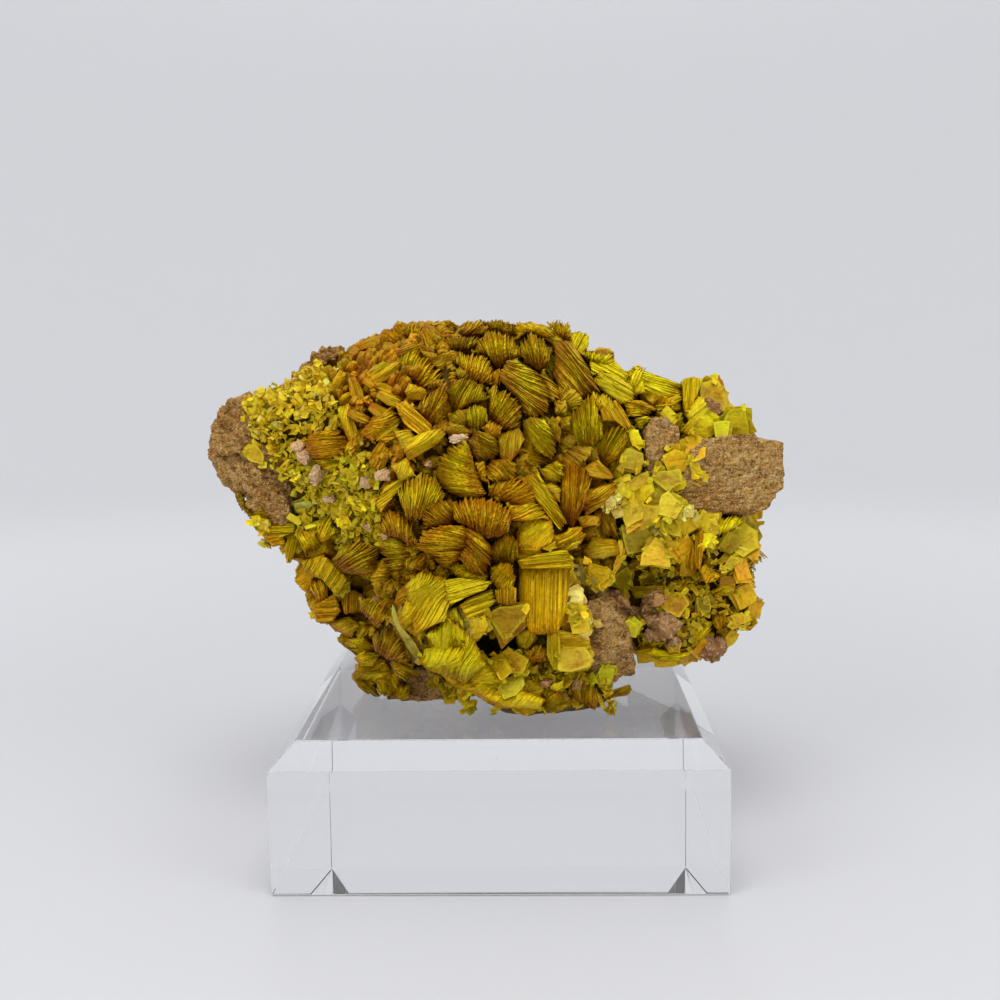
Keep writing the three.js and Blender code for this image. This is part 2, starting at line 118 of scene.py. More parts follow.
class Recipe:
    def __init__(self, name):
        self.material = bpy.data.materials.new(name)
        self.material.use_nodes = True
        self.tree = self.material.node_tree
        self.tree.nodes.clear()

    def node(self, kind, settings=None, inputs=None, output=0):
        made = self.tree.nodes.new(kind)
        for name, value in (settings or {}).items():
            setattr(made, name, value)
        for name, value in (inputs or {}).items():
            if isinstance(value, Wire):
                self.tree.links.new(value.socket, made.inputs[name])
            else:
                made.inputs[name].default_value = value
        return Wire(self, made.outputs[output])

    def sum(self, operation, *values):
        return self.node("ShaderNodeMath", {"operation": operation}, dict(enumerate(values)))

    def place(self):
        return self.node("ShaderNodeTexCoord", output="Object")

    def attribute(self, name, output="Fac"):
        return self.node("ShaderNodeAttribute", {"attribute_name": name}, output=output)

    def grain(self, place, size, detail=2, roughness=0.5):  # noise with lumps of this size in millimetres
        inputs = {"Vector": place, "Scale": 1 / (size * mm), "Detail": detail, "Roughness": roughness}
        return self.node("ShaderNodeTexNoise", {}, inputs)

    def stretched(self, place, scale):
        return self.node("ShaderNodeMapping", {}, {"Vector": place, "Scale": scale})

    def step(self, value, low, high):  # 0 below low, 1 above high, smooth between
        inputs = {"Value": value, "From Min": low, "From Max": high}
        return self.node("ShaderNodeMapRange", {"interpolation_type": "SMOOTHSTEP"}, inputs)

    def mix(self, share, first, second, blend="MIX"):
        settings = {"data_type": "RGBA", "blend_type": blend}
        colours = [c if isinstance(c, Wire) else (*c, 1) for c in (first, second)]
        return self.node("ShaderNodeMix", settings, {0: share, 6: colours[0], 7: colours[1]}, output=2)

    def shaded(self, share, colour, by):  # towards the colour times another
        return self.mix(share, colour, self.mix(1.0, colour, by, "MULTIPLY"))

    def bump(self, height, strength, depth, under=None):
        inputs = {"Height": height, "Strength": strength, "Distance": depth * mm}
        if under:
            inputs["Normal"] = under
        return self.node("ShaderNodeBump", {}, inputs)

    def finish(self, inputs):
        surface = self.node("ShaderNodeBsdfPrincipled", {}, inputs)
        output = self.tree.nodes.new("ShaderNodeOutputMaterial")
        self.tree.links.new(surface.socket, output.inputs["Surface"])
        return self.material


# body that the crystals grow on: lumps joined smoothly, less a few hollows
# centre x, y, z, then radius x, y, z
lumps = {
    "dome": (-3, 5, 66, 31, 27, 26),
    "crown": (12.5, 0, 85.5, 7, 8, 6),
    "front": (-3, -9, 51, 20, 18, 19),
    "leftWing": (-31, 1, 68, 13, 12, 13),
    "leftDruse": (-34.5, -2, 77.5, 10, 9.5, 7),
    "leftUnder": (-27.3, -2, 48.5, 9, 8, 10.5),
    "leftShelf": (-36.5, -3, 57.5, 6, 6, 4),
    "rightWing": (30, -1, 58, 14.5, 12, 18),
    "rightCorner": (35.5, -2, 77, 5, 6, 4.5),
    "shoulder": (21, 2, 74, 17, 13, 8),
    "lowerRight": (36, -3, 45.5, 12, 9, 11.5),
    "rightShelf": (28, -7, 37.5, 9, 7.5, 4.5),
    "lowerLeftKnob": (-20.5, -9, 33, 6.5, 7, 8),
    "foot": (4, -13, 33, 15, 12, 8),
    "lobe": (5, -19.5, 30, 8, 6, 5.5),
    "toe": (14, -17, 29, 7, 5.5, 4.5),
    "keel": (2, 3, 40, 22, 14, 14),
}
hollows = {
    "vug": (0, -29, 37, 5, 9, 3),
    "rightNook": (25.5, -15, 49, 5.5, 6, 4),
    "throat": (17.5, -20, 57.5, 2.2, 6, 3),
    "leftNook": (-24, -15, 46, 4, 5, 3.5),
}
druseForm = {"lumpBlend": 4, "hollowBlend": 2, "centre": (0, 2, 58), "reach": 90, "backLimit": 16}
layoutEye = np.array([6.4, -227, 90.9])  # crystals are laid on a sheet and carried back from here
layoutSheetY = -18
layoutReach = (175, 275)
march = {"least": 0.5, "share": 0.35, "back": 0.3, "halvings": 12}


def lumpDistance(points, lump):
    offset = points - np.array(lump[:3])
    plain = np.sqrt((offset**2).sum(-1))
    scaled = np.sqrt(((offset / np.array(lump[3:])) ** 2).sum(-1))
    return plain * (1 - 1 / np.maximum(scaled, 1e-6))


def smoothMin(a, b, k):
    h = np.maximum(k - np.abs(a - b), 0) / k
    return np.minimum(a, b) - h * h * k / 4


def druse(points):  # signed distance, negative inside
    d = np.full(points.shape[:-1], np.inf)
    for lump in lumps.values():
        away = lumpDistance(points, lump)
        d = away if np.isinf(d).all() else smoothMin(d, away, druseForm["lumpBlend"])
    for hollow in hollows.values():
        d = -smoothMin(-d, lumpDistance(points, hollow), druseForm["hollowBlend"])
    return d


def meet(starts, ways, near, far):  # first point of the druse on each way, and which ways meet it
    distance = np.full(len(ways), float(near))
    inside = np.zeros(len(ways), bool)
    going = np.arange(len(ways))
    while len(going):
        d = druse(starts[going] + ways[going] * distance[going, None])
        inside[going[d < 0]] = True
        going, d = going[d >= 0], d[d >= 0]
        distance[going] += np.maximum(march["least"], march["share"] * d)
        going = going[distance[going] < far]
    low, high = distance - march["least"], distance.copy()
    reached = np.nonzero(inside)[0]
    low[reached] -= march["back"] * march["least"]
    for _ in range(march["halvings"]):
        middle = (low + high) / 2
        within = druse(starts[reached] + ways[reached] * middle[reached, None]) < 0
        high[reached[within]] = middle[reached[within]]
        low[reached[~within]] = middle[reached[~within]]
    return starts + ways * high[:, None], inside


def unit(v):
    return v / np.linalg.norm(v, axis=-1, keepdims=True)


def inward(ways):  # where ways out of the druse's centre leave it
    centre, reach = np.array(druseForm["centre"], float), druseForm["reach"]
    points, _ = meet(centre + ways * reach, -ways, 0, reach)
    return points


def carriedBack(places):  # rows of x and z on the sheet
    sheet = np.column_stack([places[:, 0], np.full(len(places), layoutSheetY), places[:, 1]])
    return meet(np.repeat(layoutEye[None], len(places), 0), unit(sheet - layoutEye), *layoutReach)


def onSheet(points):  # where points are seen on the sheet
    way = points - layoutEye
    at = layoutEye + way * ((layoutSheetY - layoutEye[1]) / way[..., 1])[..., None]
    return at[..., [0, 2]]


def outward(points):
    e = 0.6
    slope = [druse(points + e * axis) - druse(points - e * axis) for axis in np.eye(3)]
    return unit(np.stack(slope, -1))


def evenWays(count):  # directions spread evenly over a sphere
    i = np.arange(count)
    z = 1 - 2 * (i + 0.5) / count
    flat = np.sqrt(1 - z * z)
    angle = i * math.pi * (3 - math.sqrt(5))
    return np.column_stack([flat * np.cos(angle), flat * np.sin(angle), z])


def inSheet(degrees):
    return np.array([math.cos(math.radians(degrees)), 0, math.sin(math.radians(degrees))])


def squared(direction, normal):
    return unit(direction - (direction @ normal) * normal)


def crystalAxes(normal, turn, lean, toward):  # rows: along the plates, across them, out of the druse
    side = squared(inSheet(toward), normal)
    out = normal * math.cos(math.radians(lean)) + side * math.sin(math.radians(lean))
    plates = squared(inSheet(turn), out)
    return np.array([plates, np.cross(out, plates), out])


# solids as the frame has them, to ask what lies inside the rock and what is seen of both
def treeOf(node):
    mesh = node.data
    points = np.empty(len(mesh.vertices) * 3)
    mesh.vertices.foreach_get("co", points)
    faces = [tuple(p.vertices) for p in mesh.polygons]
    return BVHTree.FromPolygons((points.reshape(-1, 3) / mm).tolist(), faces)


rockTree = treeOf(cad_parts["matrix_rock"])
crustTree = treeOf(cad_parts["autunite_crust"])


def insideRock(point, margin=0.5):
    place, normal, _, away = rockTree.find_nearest(Vector(point))
    return away < margin or (Vector(point) - place).dot(normal) < 0


# how far a normal of the rock is turned to the way out of the centre, and to the layout eye
normalTurn = {"outer": 0.6, "seen": 0.3}


def outerSkin(ways):  # outermost of druse and rock on ways out: points, normals, and which are rock
    centre, reach = np.array(druseForm["centre"], float), druseForm["reach"]
    points = inward(ways)
    normals = outward(points)
    bare = np.zeros(len(ways), bool)
    for i, way in enumerate(ways):
        place, normal, _, _ = rockTree.ray_cast(Vector(centre + way * reach), Vector(-way))
        if place and (np.array(place) - centre) @ way > (points[i] - centre) @ way:
            points[i], normals[i], bare[i] = place, unit(np.array(normal) + normalTurn["outer"] * way), True
    return points, normals, bare


def seenSkin(places):  # what the layout eye sees first there: points, normals, and where anything is met
    points, met = carriedBack(places)
    normals = outward(points)
    for i, (x, z) in enumerate(places):
        way = unit(np.array([x, layoutSheetY, z]) - layoutEye)
        place, normal, _, away = rockTree.ray_cast(Vector(layoutEye), Vector(way))
        if place and (not met[i] or away < np.linalg.norm(points[i] - layoutEye)):
            points[i], normals[i], met[i] = place, unit(np.array(normal) - normalTurn["seen"] * way), True
    return points, normals, met


# the camera's view as a grid of 1000 by 1000 steps, for outlines read off it
grid = {"step": 1 / 5.73, "middle": 500, "centre": (0.5, 63.5)}


def onGrid(steps):  # rows of steps right and down: x and z on the layout sheet
    return (np.array(steps, float) - grid["middle"]) * grid["step"] * [1, -1] + grid["centre"]


def wayTo(places):  # from the layout eye through places on the sheet
    flat = np.full(places.shape[:-1], layoutSheetY)
    return unit(np.stack([places[..., 0], flat, places[..., 1]], -1) - layoutEye)


def within(places, corners):  # which places on the sheet lie inside an outline
    inside = np.zeros(len(places), bool)
    x, z = places.T
    for (x0, z0), (x1, z1) in zip(corners, np.roll(corners, -1, 0)):
        crossing = (z0 > z) != (z1 > z)
        inside ^= crossing & (x < x0 + (z - z0) * (x1 - x0) / (z1 - z0 + 1e-9))
    return inside


planeForm = {"rings": (0.45, 0.85), "usual": 215, "steepest": 0.4, "nearest": 30}


def seenPlane(corners, trees):  # how far away the solids are seen over an outline, and how that slopes
    middle = corners.mean(0)
    probes = np.vstack([middle, *(middle + (corners - middle) * ring for ring in planeForm["rings"])])
    known, away = [], []
    for probe, way in zip(probes, wayTo(probes)):
        met = [tree.ray_cast(Vector(layoutEye), Vector(way))[3] for tree in trees]
        met = [m for m in met if m is not None]
        if met:
            known.append(probe - middle)
            away.append(min(met))
    if not known:
        usual = layoutEye + wayTo(middle[None])[0] * planeForm["usual"]
        return np.linalg.norm(np.array(trees[0].find_nearest(Vector(usual))[0]) - layoutEye), np.zeros(2)
    slope = np.zeros(2)
    if len(known) > 3:
        table = np.column_stack([np.ones(len(known)), known])
        slope = np.linalg.lstsq(table, np.array(away), rcond=None)[0][1:]
        slope = np.clip(slope, -planeForm["steepest"], planeForm["steepest"])
    return np.percentile(away - np.array(known) @ slope, planeForm["nearest"]), slope


# colours of the plates over the specimen
# seat on the layout sheet x, z, how far it spreads x, z, then colour
tones = {
    "crownOlive": (2, 88, 14, 9, linear(176, 142, 16)),
    "domeGold": (-4, 72, 16, 10, linear(174, 134, 8)),
    "sheafOrange": (-21, 82, 9, 9, linear(190, 138, 10)),
    "druseLemon": (-35, 81, 9, 7, linear(212, 176, 26)),
    "wingLime": (-31, 65, 9, 7, linear(190, 156, 16)),
    "underGold": (-28, 48, 12, 10, linear(196, 160, 8)),
    "kneeOlive": (-22, 34, 9, 7, linear(172, 134, 10)),
    "frontGold": (-4, 57, 12, 9, linear(182, 142, 10)),
    "bookLime": (-1, 43, 12, 7, linear(198, 176, 10)),
    "footYellow": (4, 31, 14, 6, linear(196, 164, 12)),
    "shoulderLemon": (25, 82, 13, 8, linear(206, 172, 4)),
    "cornerLime": (38, 77, 7, 6, linear(212, 192, 4)),
    "tabletLemon": (28, 64, 9, 9, linear(208, 168, 16)),
    "rightGold": (34, 46, 12, 12, linear(190, 144, 12)),
}
toneRows = np.array([row[:4] for row in tones.values()])
toneColours = np.array([row[4] for row in tones.values()])


def toneAt(points):
    offset = (onSheet(points)[..., None, :] - toneRows[:, :2]) / toneRows[:, 2:4]
    weight = np.exp(-((offset**2).sum(-1)))
    weight += 1e-9
    return weight @ toneColours / weight.sum(-1, keepdims=True)


# plates: one closed slab, bent and cut to shape for each
def slabTemplate(columns, rows):
    form = bmesh.new()
    bmesh.ops.create_grid(form, x_segments=columns, y_segments=rows, size=1)
    back = bmesh.ops.extrude_face_region(form, geom=form.faces[:])["geom"]
    for vertex in [v for v in back if isinstance(v, bmesh.types.BMVert)]:
        vertex.co.z = 1
    bmesh.ops.recalc_face_normals(form, faces=form.faces[:])
    form.verts.index_update()
    co = np.array([v.co for v in form.verts])
    faces = np.array([[v.index for v in f.verts] for f in form.faces])
    form.free()
    column = np.rint((co[:, 0] + 1) / 2 * columns).astype(int)
    row = np.rint((co[:, 1] + 1) / 2 * rows).astype(int)
    return {"s": co[:, 0], "t": (co[:, 1] + 1) / 2, "side": co[:, 2] * 2 - 1, "column": column, "row": row,
            "columns": columns, "rows": rows, "faces": faces}


slabs = {"fine": slabTemplate(7, 3), "small": slabTemplate(3, 2), "tiny": slabTemplate(2, 1)}
plateWords = ["inner", "outer", "rootWidth", "width", "thick", "arc", "point", "slant", "jag", "notch",
              "chip", "rough", "curl", "wave", "phase", "open", "pale"]
plateUsual = {"point": 2.0, "rough": 0.04}


def notches(count, steps):  # an edge that steps in and out
    steady = dice.random((count, steps)) < 0.62
    steps = np.where(steady, 0, dice.uniform(-1, 1, (count, steps))).cumsum(1)
    return np.clip(steps - steps.mean(1, keepdims=True), -1.2, 1.2)


class Bed:  # plates gathered for one piece
    def __init__(self, name, slab="fine"):
        self.name = name
        self.slab = slabs[slab]
        self.origins, self.axes, self.shapes, self.tints = [], [], [], []

    def add(self, origin, axes, tint, **shape):
        self.origins.append(origin)
        self.axes.append(axes)
        self.tints.append(tint)
        self.shapes.append([shape.get(word, plateUsual.get(word, 0.0)) for word in plateWords])

    def shape(self):  # every plate's corners along, across and out, and how deep each lies under the rim
        slab, count = self.slab, len(self.origins)
        columns, rows = slab["columns"] + 1, slab["rows"] + 1
        s, t, side = slab["s"], slab["t"], slab["side"]
        word = dict(zip(plateWords, np.array(self.shapes).T[:, :, None]))

        def edge(steps, index):
            jagged = word["jag"] * dice.uniform(-1, 1, (count, steps))[:, index]
            return jagged + word["notch"] * notches(count, steps)[:, index]

        chips = np.where(dice.random((count, 2)) < 0.5, dice.random((count, 2)), 0)
        chip = word["chip"] * np.where(s > 0, chips[:, :1], chips[:, 1:])
        chip = chip * np.maximum(np.abs(s) - 0.35, 0) / 0.65
        width = word["rootWidth"] + (word["width"] - word["rootWidth"]) * t**0.7
        along = s * width / 2
        along = along + edge(rows, slab["row"]) * (np.abs(s) > 0.9) * np.maximum(t, word["open"])
        length = word["outer"] - word["inner"]
        rim = word["outer"] - word["arc"] * length * np.abs(s) ** word["point"] + word["slant"] * s
        rim = rim - chip * length + edge(columns, slab["column"])
        root = word["inner"] + word["open"] * edge(columns, slab["column"])
        out = root + (rim - root) * t
        bumps = dice.normal(0, 1, (count, columns * rows))[:, slab["column"] * rows + slab["row"]]
        across = side * word["thick"] / 2 * (0.7 + 0.3 * t) + word["curl"] * t**2 + word["rough"] * bumps
        across = across + word["wave"] * np.sin(word["phase"] + 2.6 * s) * (0.3 + 0.7 * t)
        # deep paints shade in the finish: parts deeper under the rim are painted darker, and open plates
        # darker in the middle than at their edges
        verge = np.maximum(np.abs(s), np.abs(2 * t - 1)) ** 4
        deep = np.where(word["open"] > 0, 0.5 * (1 - verge), rim - out)
        return np.stack([along, across, out], -1), deep

    def mesh(self):
        local, deep = self.shape()
        points = np.array(self.origins)[:, None, :] + np.einsum("pvi,pij->pvj", local, np.array(self.axes))
        tints = np.broadcast_to(np.array(self.tints)[:, None, :], points.shape)
        pale = np.array(self.shapes)[:, plateWords.index("pale")]
        grown = local[..., [0, 2, 1]] * 0.4
        return joined(self.name, points, self.slab["faces"], tints, deep, pale, grown)


def joined(name, points, faces, tints, deep, pale, grown):  # one mesh of many alike: rows are bodies
    points = points - np.maximum(points - boxHigh, 0).max(1, keepdims=True)
    points = points + np.maximum(boxLow - points, 0).max(1, keepdims=True)
    count, corners = points.shape[:2]
    mesh = bpy.data.meshes.new(name)
    mesh.vertices.add(count * corners)
    mesh.vertices.foreach_set("co", (points * mm).ravel())
    faces = (faces[None] + (np.arange(count) * corners)[:, None, None]).reshape(-1, 4)
    mesh.loops.add(faces.size)
    mesh.loops.foreach_set("vertex_index", faces.ravel())
    mesh.polygons.add(len(faces))
    mesh.polygons.foreach_set("loop_start", np.arange(0, faces.size, 4))
    mesh.polygons.foreach_set("use_smooth", np.zeros(len(faces), bool))
    colours = np.ones((count, corners, 4))
    colours[..., :3] = tints
    mesh.attributes.new("tint", "FLOAT_COLOR", "POINT").data.foreach_set("color", colours.ravel())
    mesh.attributes.new("deep", "FLOAT", "POINT").data.foreach_set("value", deep.ravel())
    mesh.attributes.new("pale", "FLOAT", "POINT").data.foreach_set("value", np.repeat(pale, corners))
    grown = grown + dice.uniform(-40, 40, (count, 1, 3))
    mesh.attributes.new("grown", "FLOAT_VECTOR", "POINT").data.foreach_set("vector", grown.ravel())
    mesh.update(calc_edges=True)
    return mesh


# stacks: many plates grown together, of which only the rims stand apart
def stackTemplate(plates, points):
    sections = 2 * plates
    faces = []
    for a in range(sections - 1):
        for b in range(points):
            c = (b + 1) % points
            faces.append((a * points + c, a * points + b, (a + 1) * points + b, (a + 1) * points + c))
    for b in range(points // 2 - 1):
        end = (b, b + 1, points - 2 - b, points - 1 - b)
        faces.append(end)
        faces.append(tuple((sections - 1) * points + i for i in reversed(end)))
    section, point = np.divmod(np.arange(sections * points), points)
    return {"plate": section // 2, "low": section % 2, "section": section, "point": point, "plates": plates,
            "points": points, "turn": math.pi * (1 - point / (points - 1)), "faces": np.array(faces)}


stacks = {
    "wide": stackTemplate(40, 26), "large": stackTemplate(30, 22), "hand": stackTemplate(16, 16),
    "middle": stackTemplate(9, 14), "small": stackTemplate(4, 8),
}
stackWords = ["width", "length", "root", "rootShare", "square", "half", "slide", "narrow", "sharp", "groove",
              "jag", "wander", "wave", "phase", "drift", "lean", "dent", "jump", "warm", "pale"]
stackUsual = {"rootShare": 0.5, "square": 2.0, "sharp": 1.6, "groove": 0.17, "jag": 0.22, "wander": 0.1}


class Clump:  # stacks gathered for one piece
    def __init__(self, name, stack="large"):
        self.name = name
        self.stack = stacks[stack]
        self.origins, self.axes, self.shapes, self.tints = [], [], [], []

    def add(self, origin, axes, tint, **shape):
        self.origins.append(origin)
        self.axes.append(axes)
        self.tints.append(tint)
        self.shapes.append([shape.get(word, stackUsual.get(word, 0.0)) for word in stackWords])

    def mesh(self):
        stack, count = self.stack, len(self.origins)
        plates, points, plate, low = stack["plates"], stack["points"], stack["plate"], stack["low"]
        word = dict(zip(stackWords, np.array(self.shapes).T[:, :, None]))
        thick = dice.uniform(0.5, 1.5, (count, plates))
        start = np.cumsum(thick, 1) - thick
        whole = thick.sum(1, keepdims=True)
        u = 2 * (start[:, plate] + 0.9 * thick[:, plate] * low) / whole - 1

        def each(spread=1.0):  # one random number for every plate of every stack
            return dice.normal(0, spread, (count, plates))[:, plate]

        def notched():  # one for every point of every plate's rim
            return dice.uniform(-1, 1, (count, plates * points))[:, plate * points + stack["point"]]

        def dented():  # slow rise and fall over the whole stack
            first, second = dice.uniform(1.5, 3.2, (2, count, 1))
            rise = np.sin(first * u + dice.uniform(0, 6, (count, 1)))
            return rise * np.cos(second * a + dice.uniform(0, 6, (count, 1)))

        cosine, sine = np.cos(stack["turn"]), np.maximum(np.sin(stack["turn"]), 0)
        a = np.sign(cosine) * np.abs(cosine) ** (2 / word["square"])
        h = sine ** (2 / word["square"])
        groove = word["groove"] * low * dice.uniform(0.5, 1.4, (count, plates))[:, plate]
        wander = word["wander"] * each()
        jumps = np.where(dice.random((count, plates)) < 0.12, dice.normal(0, 1, (count, plates)), 0).cumsum(1)
        jump = word["jump"] * np.clip(jumps - jumps.mean(1, keepdims=True), -1.2, 1.2)[:, plate]
        length = word["length"] * (1 - 0.12 * np.abs(u) ** 3) + wander + jump - groove
        length = length + word["dent"] * dented()
        jagH, jagA = word["jag"] * notched(), word["jag"] * notched()
        out = word["root"] + h * (length + jagH)
        width = word["width"] * (1 - word["narrow"] * np.abs(u) ** word["sharp"])
        width = width * (1 + 0.06 * each()) - 2 * groove
        width = np.maximum(width + jump + word["dent"] * dented(), 0.4)
        along = a * width / 2 * (word["rootShare"] + (1 - word["rootShare"]) * h**0.7) + jagA * np.abs(a)
        along = along + word["drift"] * word["width"] * u + word["lean"] * word["length"] * h + 0.12 * each()
        angle = word["half"] * u + 0.012 * each()
        bend = word["wave"] * np.sin(word["phase"] + 2.4 * a + 1.5 * u) * h + word["dent"] * dented() * h
        across = word["slide"] * u / 2 + out * np.sin(angle) + bend
        local = np.stack([along, across, out * np.cos(angle)], -1)
        points = np.array(self.origins)[:, None, :] + np.einsum("pvi,pij->pvj", local, np.array(self.axes))
        # deep paints shade in the finish: the flanks, the low half of each plate and plates that stand back
        # are painted darker
        deep = (1 - h) * word["length"] * 0.6 + 0.35 * low - 0.8 * wander - 0.6 * jump
        side = np.clip(0.5 + 0.6 * word["warm"] * u, 0, 1)[..., None]
        tints = np.array(self.tints)[:, None, :] * (1 + side * np.array([-0.08, -0.2, -0.3]))
        tints = tints * np.exp(each(0.06))[..., None] * (1 + each(0.04)[..., None] * np.array([0.6, -1, 0]))
        spread = (word["slide"] / 2 + word["half"] * (word["root"] + word["length"])) * u
        grown = np.stack([along, out, spread], -1)
        pale = np.array(self.shapes)[:, stackWords.index("pale")]
        return joined(self.name, points, stack["faces"], np.clip(tints, 0, 1), deep, pale, grown)


def tilted(axes, angle, side=0.0):  # turned about the plates' own length, then about their own way out
    along, across, out = axes
    c, s = math.cos(angle), math.sin(angle)
    across, out = across * c - out * s, out * c + across * s
    c, s = math.cos(side), math.sin(side)
    along, out = along * c - out * s, out * c + along * s
    return np.array([along, across, out])


def varied(colour, spread=0.12):  # a plate's own colour, a little lighter, darker or warmer
    light = math.exp(dice.normal(0, spread))
    warm = dice.normal(0, spread * 0.5)
    return np.clip(colour * light * np.array([1 + warm * 0.6, 1 - warm * 0.4, 1]), 0, 1)


fanForm = {"spread": 70, "grow": 1.34, "root": 0.25, "large": 4.6}


def growFan(bed, at, axes, width, height, reach, tint, pale=0.5):
    width, height = width * fanForm["grow"], height * fanForm["grow"]
    half = math.radians(fanForm["spread"] / 2 * dice.uniform(0.85, 1.15))
    radius = height / 2 / math.sin(half)
    root = radius * fanForm["root"]
    bed.add(at + axes[2] * (reach - radius), axes, varied(tint, 0.12), width=width, length=radius - root,
            root=root, square=dice.uniform(1.05, 2.2), half=half, narrow=dice.uniform(0.4, 0.9),
            sharp=dice.uniform(1.0, 2.0), rootShare=dice.uniform(0.3, 0.6),
            wave=0.25 * dice.uniform(0.3, 1.5), phase=dice.uniform(0, 6), drift=dice.uniform(-0.16, 0.16),
            lean=dice.uniform(-0.3, 0.3), dent=0.045 * width, jump=0.07 * width, warm=dice.choice([-1, 1]),
            pale=pale)


bookForm = {"embed": 2.6, "groove": 0.16, "wander": 0.16}


def growBook(bed, at, axes, width, height, reach, tint, pale=0.4):
    bed.add(at - axes[2] * bookForm["embed"], axes, varied(tint, 0.12), width=width, slide=height,
            length=bookForm["embed"] + reach, square=dice.uniform(5, 12), half=dice.uniform(-0.04, 0.16),
            narrow=dice.uniform(0.0, 0.15), sharp=4, rootShare=0.8, groove=bookForm["groove"],
            wander=bookForm["wander"], wave=0.3, phase=dice.uniform(0, 6), drift=dice.uniform(-0.08, 0.08),
            lean=dice.uniform(-0.08, 0.08), dent=0.04 * width, jump=0.05 * width,
            warm=dice.choice([-0.6, 0.6]), pale=pale)


def spun(axes, angle):  # turned about the way out
    along, across, out = axes
    c, s = math.cos(angle), math.sin(angle)
    return np.array([along * c + across * s, across * c - along * s, out])


tabletForm = {"pitch": 0.3, "thick": 0.2, "jag": 0.05, "notch": 0.12, "layers": (3, 6), "embed": 1.6,
              "face": 0.45, "stemPitch": 0.5}
towardEye = np.array([0.03, -0.98, 0.16])


def faced(axes, share):  # turned part of the way to face the eye
    out = unit(axes[2] * (1 - share) + towardEye * share)
    along = squared(axes[0], out)
    return np.array([along, np.cross(out, along), out])


def growTablet(bed, at, axes, width, height, reach, tint, pale=0.3):  # square plates lying on each other
    axes = faced(axes, tabletForm["face"] * dice.uniform(0.3, 1.3))
    layers = dice.integers(*tabletForm["layers"])
    own = varied(tint, 0.2)
    for i in range(layers):
        size = (1 - 0.03 * i) * dice.uniform(0.82, 1.08)
        leaf = spun(axes, dice.normal(0, 0.12))
        leaf = tilted(leaf, dice.normal(0, 0.05 + 0.03 * i), dice.normal(0, 0.05 + 0.03 * i))
        lying = np.array([leaf[0], leaf[2], -leaf[1]])  # the plate's face looks out of the druse
        centre = at + axes[2] * (reach - tabletForm["pitch"] * i)
        centre = centre + axes[0] * dice.normal(0, 0.1 + 0.14 * i) + axes[1] * dice.normal(0, 0.1 + 0.14 * i)
        bed.add(centre, lying, varied(own, 0.12), inner=-height / 2 * size, outer=height / 2 * size,
                rootWidth=width * size, width=width * size, thick=tabletForm["thick"],
                slant=dice.normal(0, 0.08), jag=tabletForm["jag"], notch=tabletForm["notch"], chip=0.22,
                open=1, rough=0.02, curl=dice.normal(0, 0.08), wave=0.04, phase=dice.uniform(0, 6), pale=pale)
    root = tabletForm["embed"] + reach - tabletForm["pitch"] * layers
    stems = max(2, round(height * 0.55 / tabletForm["stemPitch"]))
    for i in range(stems):
        edge = i - (stems - 1) / 2
        foot = at + axes[1] * edge * tabletForm["stemPitch"] - axes[2] * tabletForm["embed"]
        stem = tilted(axes, edge * 0.06 + dice.normal(0, 0.04), dice.normal(0, 0.05))
        # painted shade: the stems under the plates are painted darker
        bed.add(foot, stem, varied(own, 0.1) * 0.85, inner=0.0, outer=root + 0.2, rootWidth=width * 0.5,
                width=width * 0.72, thick=0.36, jag=0.1, notch=0.15, wave=0.1, phase=dice.uniform(0, 6),
                pale=0.1)


flakeForm = {"perArea": 1.6, "thick": 0.1, "tone": 0.6}
# leaves far enough to the side or low enough have colours of their own, on the left by a sloping line
leafZones = {"side": 14, "foot": 40, "high": 77, "slope": 0.2}
leafTones = {"high": ("lemon", "creamLime", "cream", "lemon", "gold", "orange"),
             "low": ("lime", "lemon", "paleLime", "gold", "olive", "bright"),
             "right": ("lime", "creamLime", "gold", "lemon", "olive")}


def addLeaf(bed, at, facing, colour, wide, long, pale):  # one thin plate that faces a way
    leaf = crystalAxes(unit(facing), dice.uniform(0, 180), 0, 0)
    x, z = onSheet(at)
    if dice.uniform() < flakeForm["tone"] and (abs(x) > leafZones["side"] or z < leafZones["foot"]):
        high = z > leafZones["high"] + leafZones["slope"] * x
        zone = "right" if x > -leafZones["side"] else "high" if high else "low"
        colour = heroTones[dice.choice(leafTones[zone])]
    bed.add(at, np.array([leaf[0], leaf[2], -leaf[1]]), varied(colour, 0.18), inner=-long / 2, outer=long / 2,
            rootWidth=wide, width=wide * dice.uniform(0.7, 1.1), thick=flakeForm["thick"],
            arc=dice.uniform(0, 0.2), slant=dice.normal(0, 0.14), jag=0.1, notch=0.1, chip=0.3, open=1,
            curl=dice.normal(0, 0.06), pale=pale)


def growFlakes(bed, at, axes, width, height, reach, tint, pale=0.6, sizes=(0.5, 2.0)):  # thin lapping scales
    for _ in range(max(4, round(width * height * flakeForm["perArea"] / sizes[0]))):
        share = dice.uniform((-0.6, -0.6, 0.1), (0.6, 0.6, 1), 3)
        place = at + (axes * np.array([[width], [height], [reach]]) * share[:, None]).sum(0)
        wide, long = sizes[0] + (sizes[1] - sizes[0]) * dice.random(2) * (0.5, 1)
        addLeaf(bed, place, axes[2] * 0.4 + towardEye * 0.4 + dice.normal(0, 0.7, 3), tint, wide, long, pale)


def growScales(bed, at, axes, width, height, reach, tint, pale=0.4):
    growFlakes(bed, at, axes, width * 0.8, height * 0.8, reach, tint, pale, (1.2, 3.0))


# outline: the line that tips stay under, as one place on it, x and z, and its slope
sheafForm = {"spread": 18, "width": (1.3, 2.8), "height": (0.6, 1.3), "area": 2.2, "length": (4.5, 8.0),
             "from": (-26, 84), "lean": (35, 66), "outline": (-27, 89.3, 0.5), "shown": 0.55,
             "embedded": 0.45}


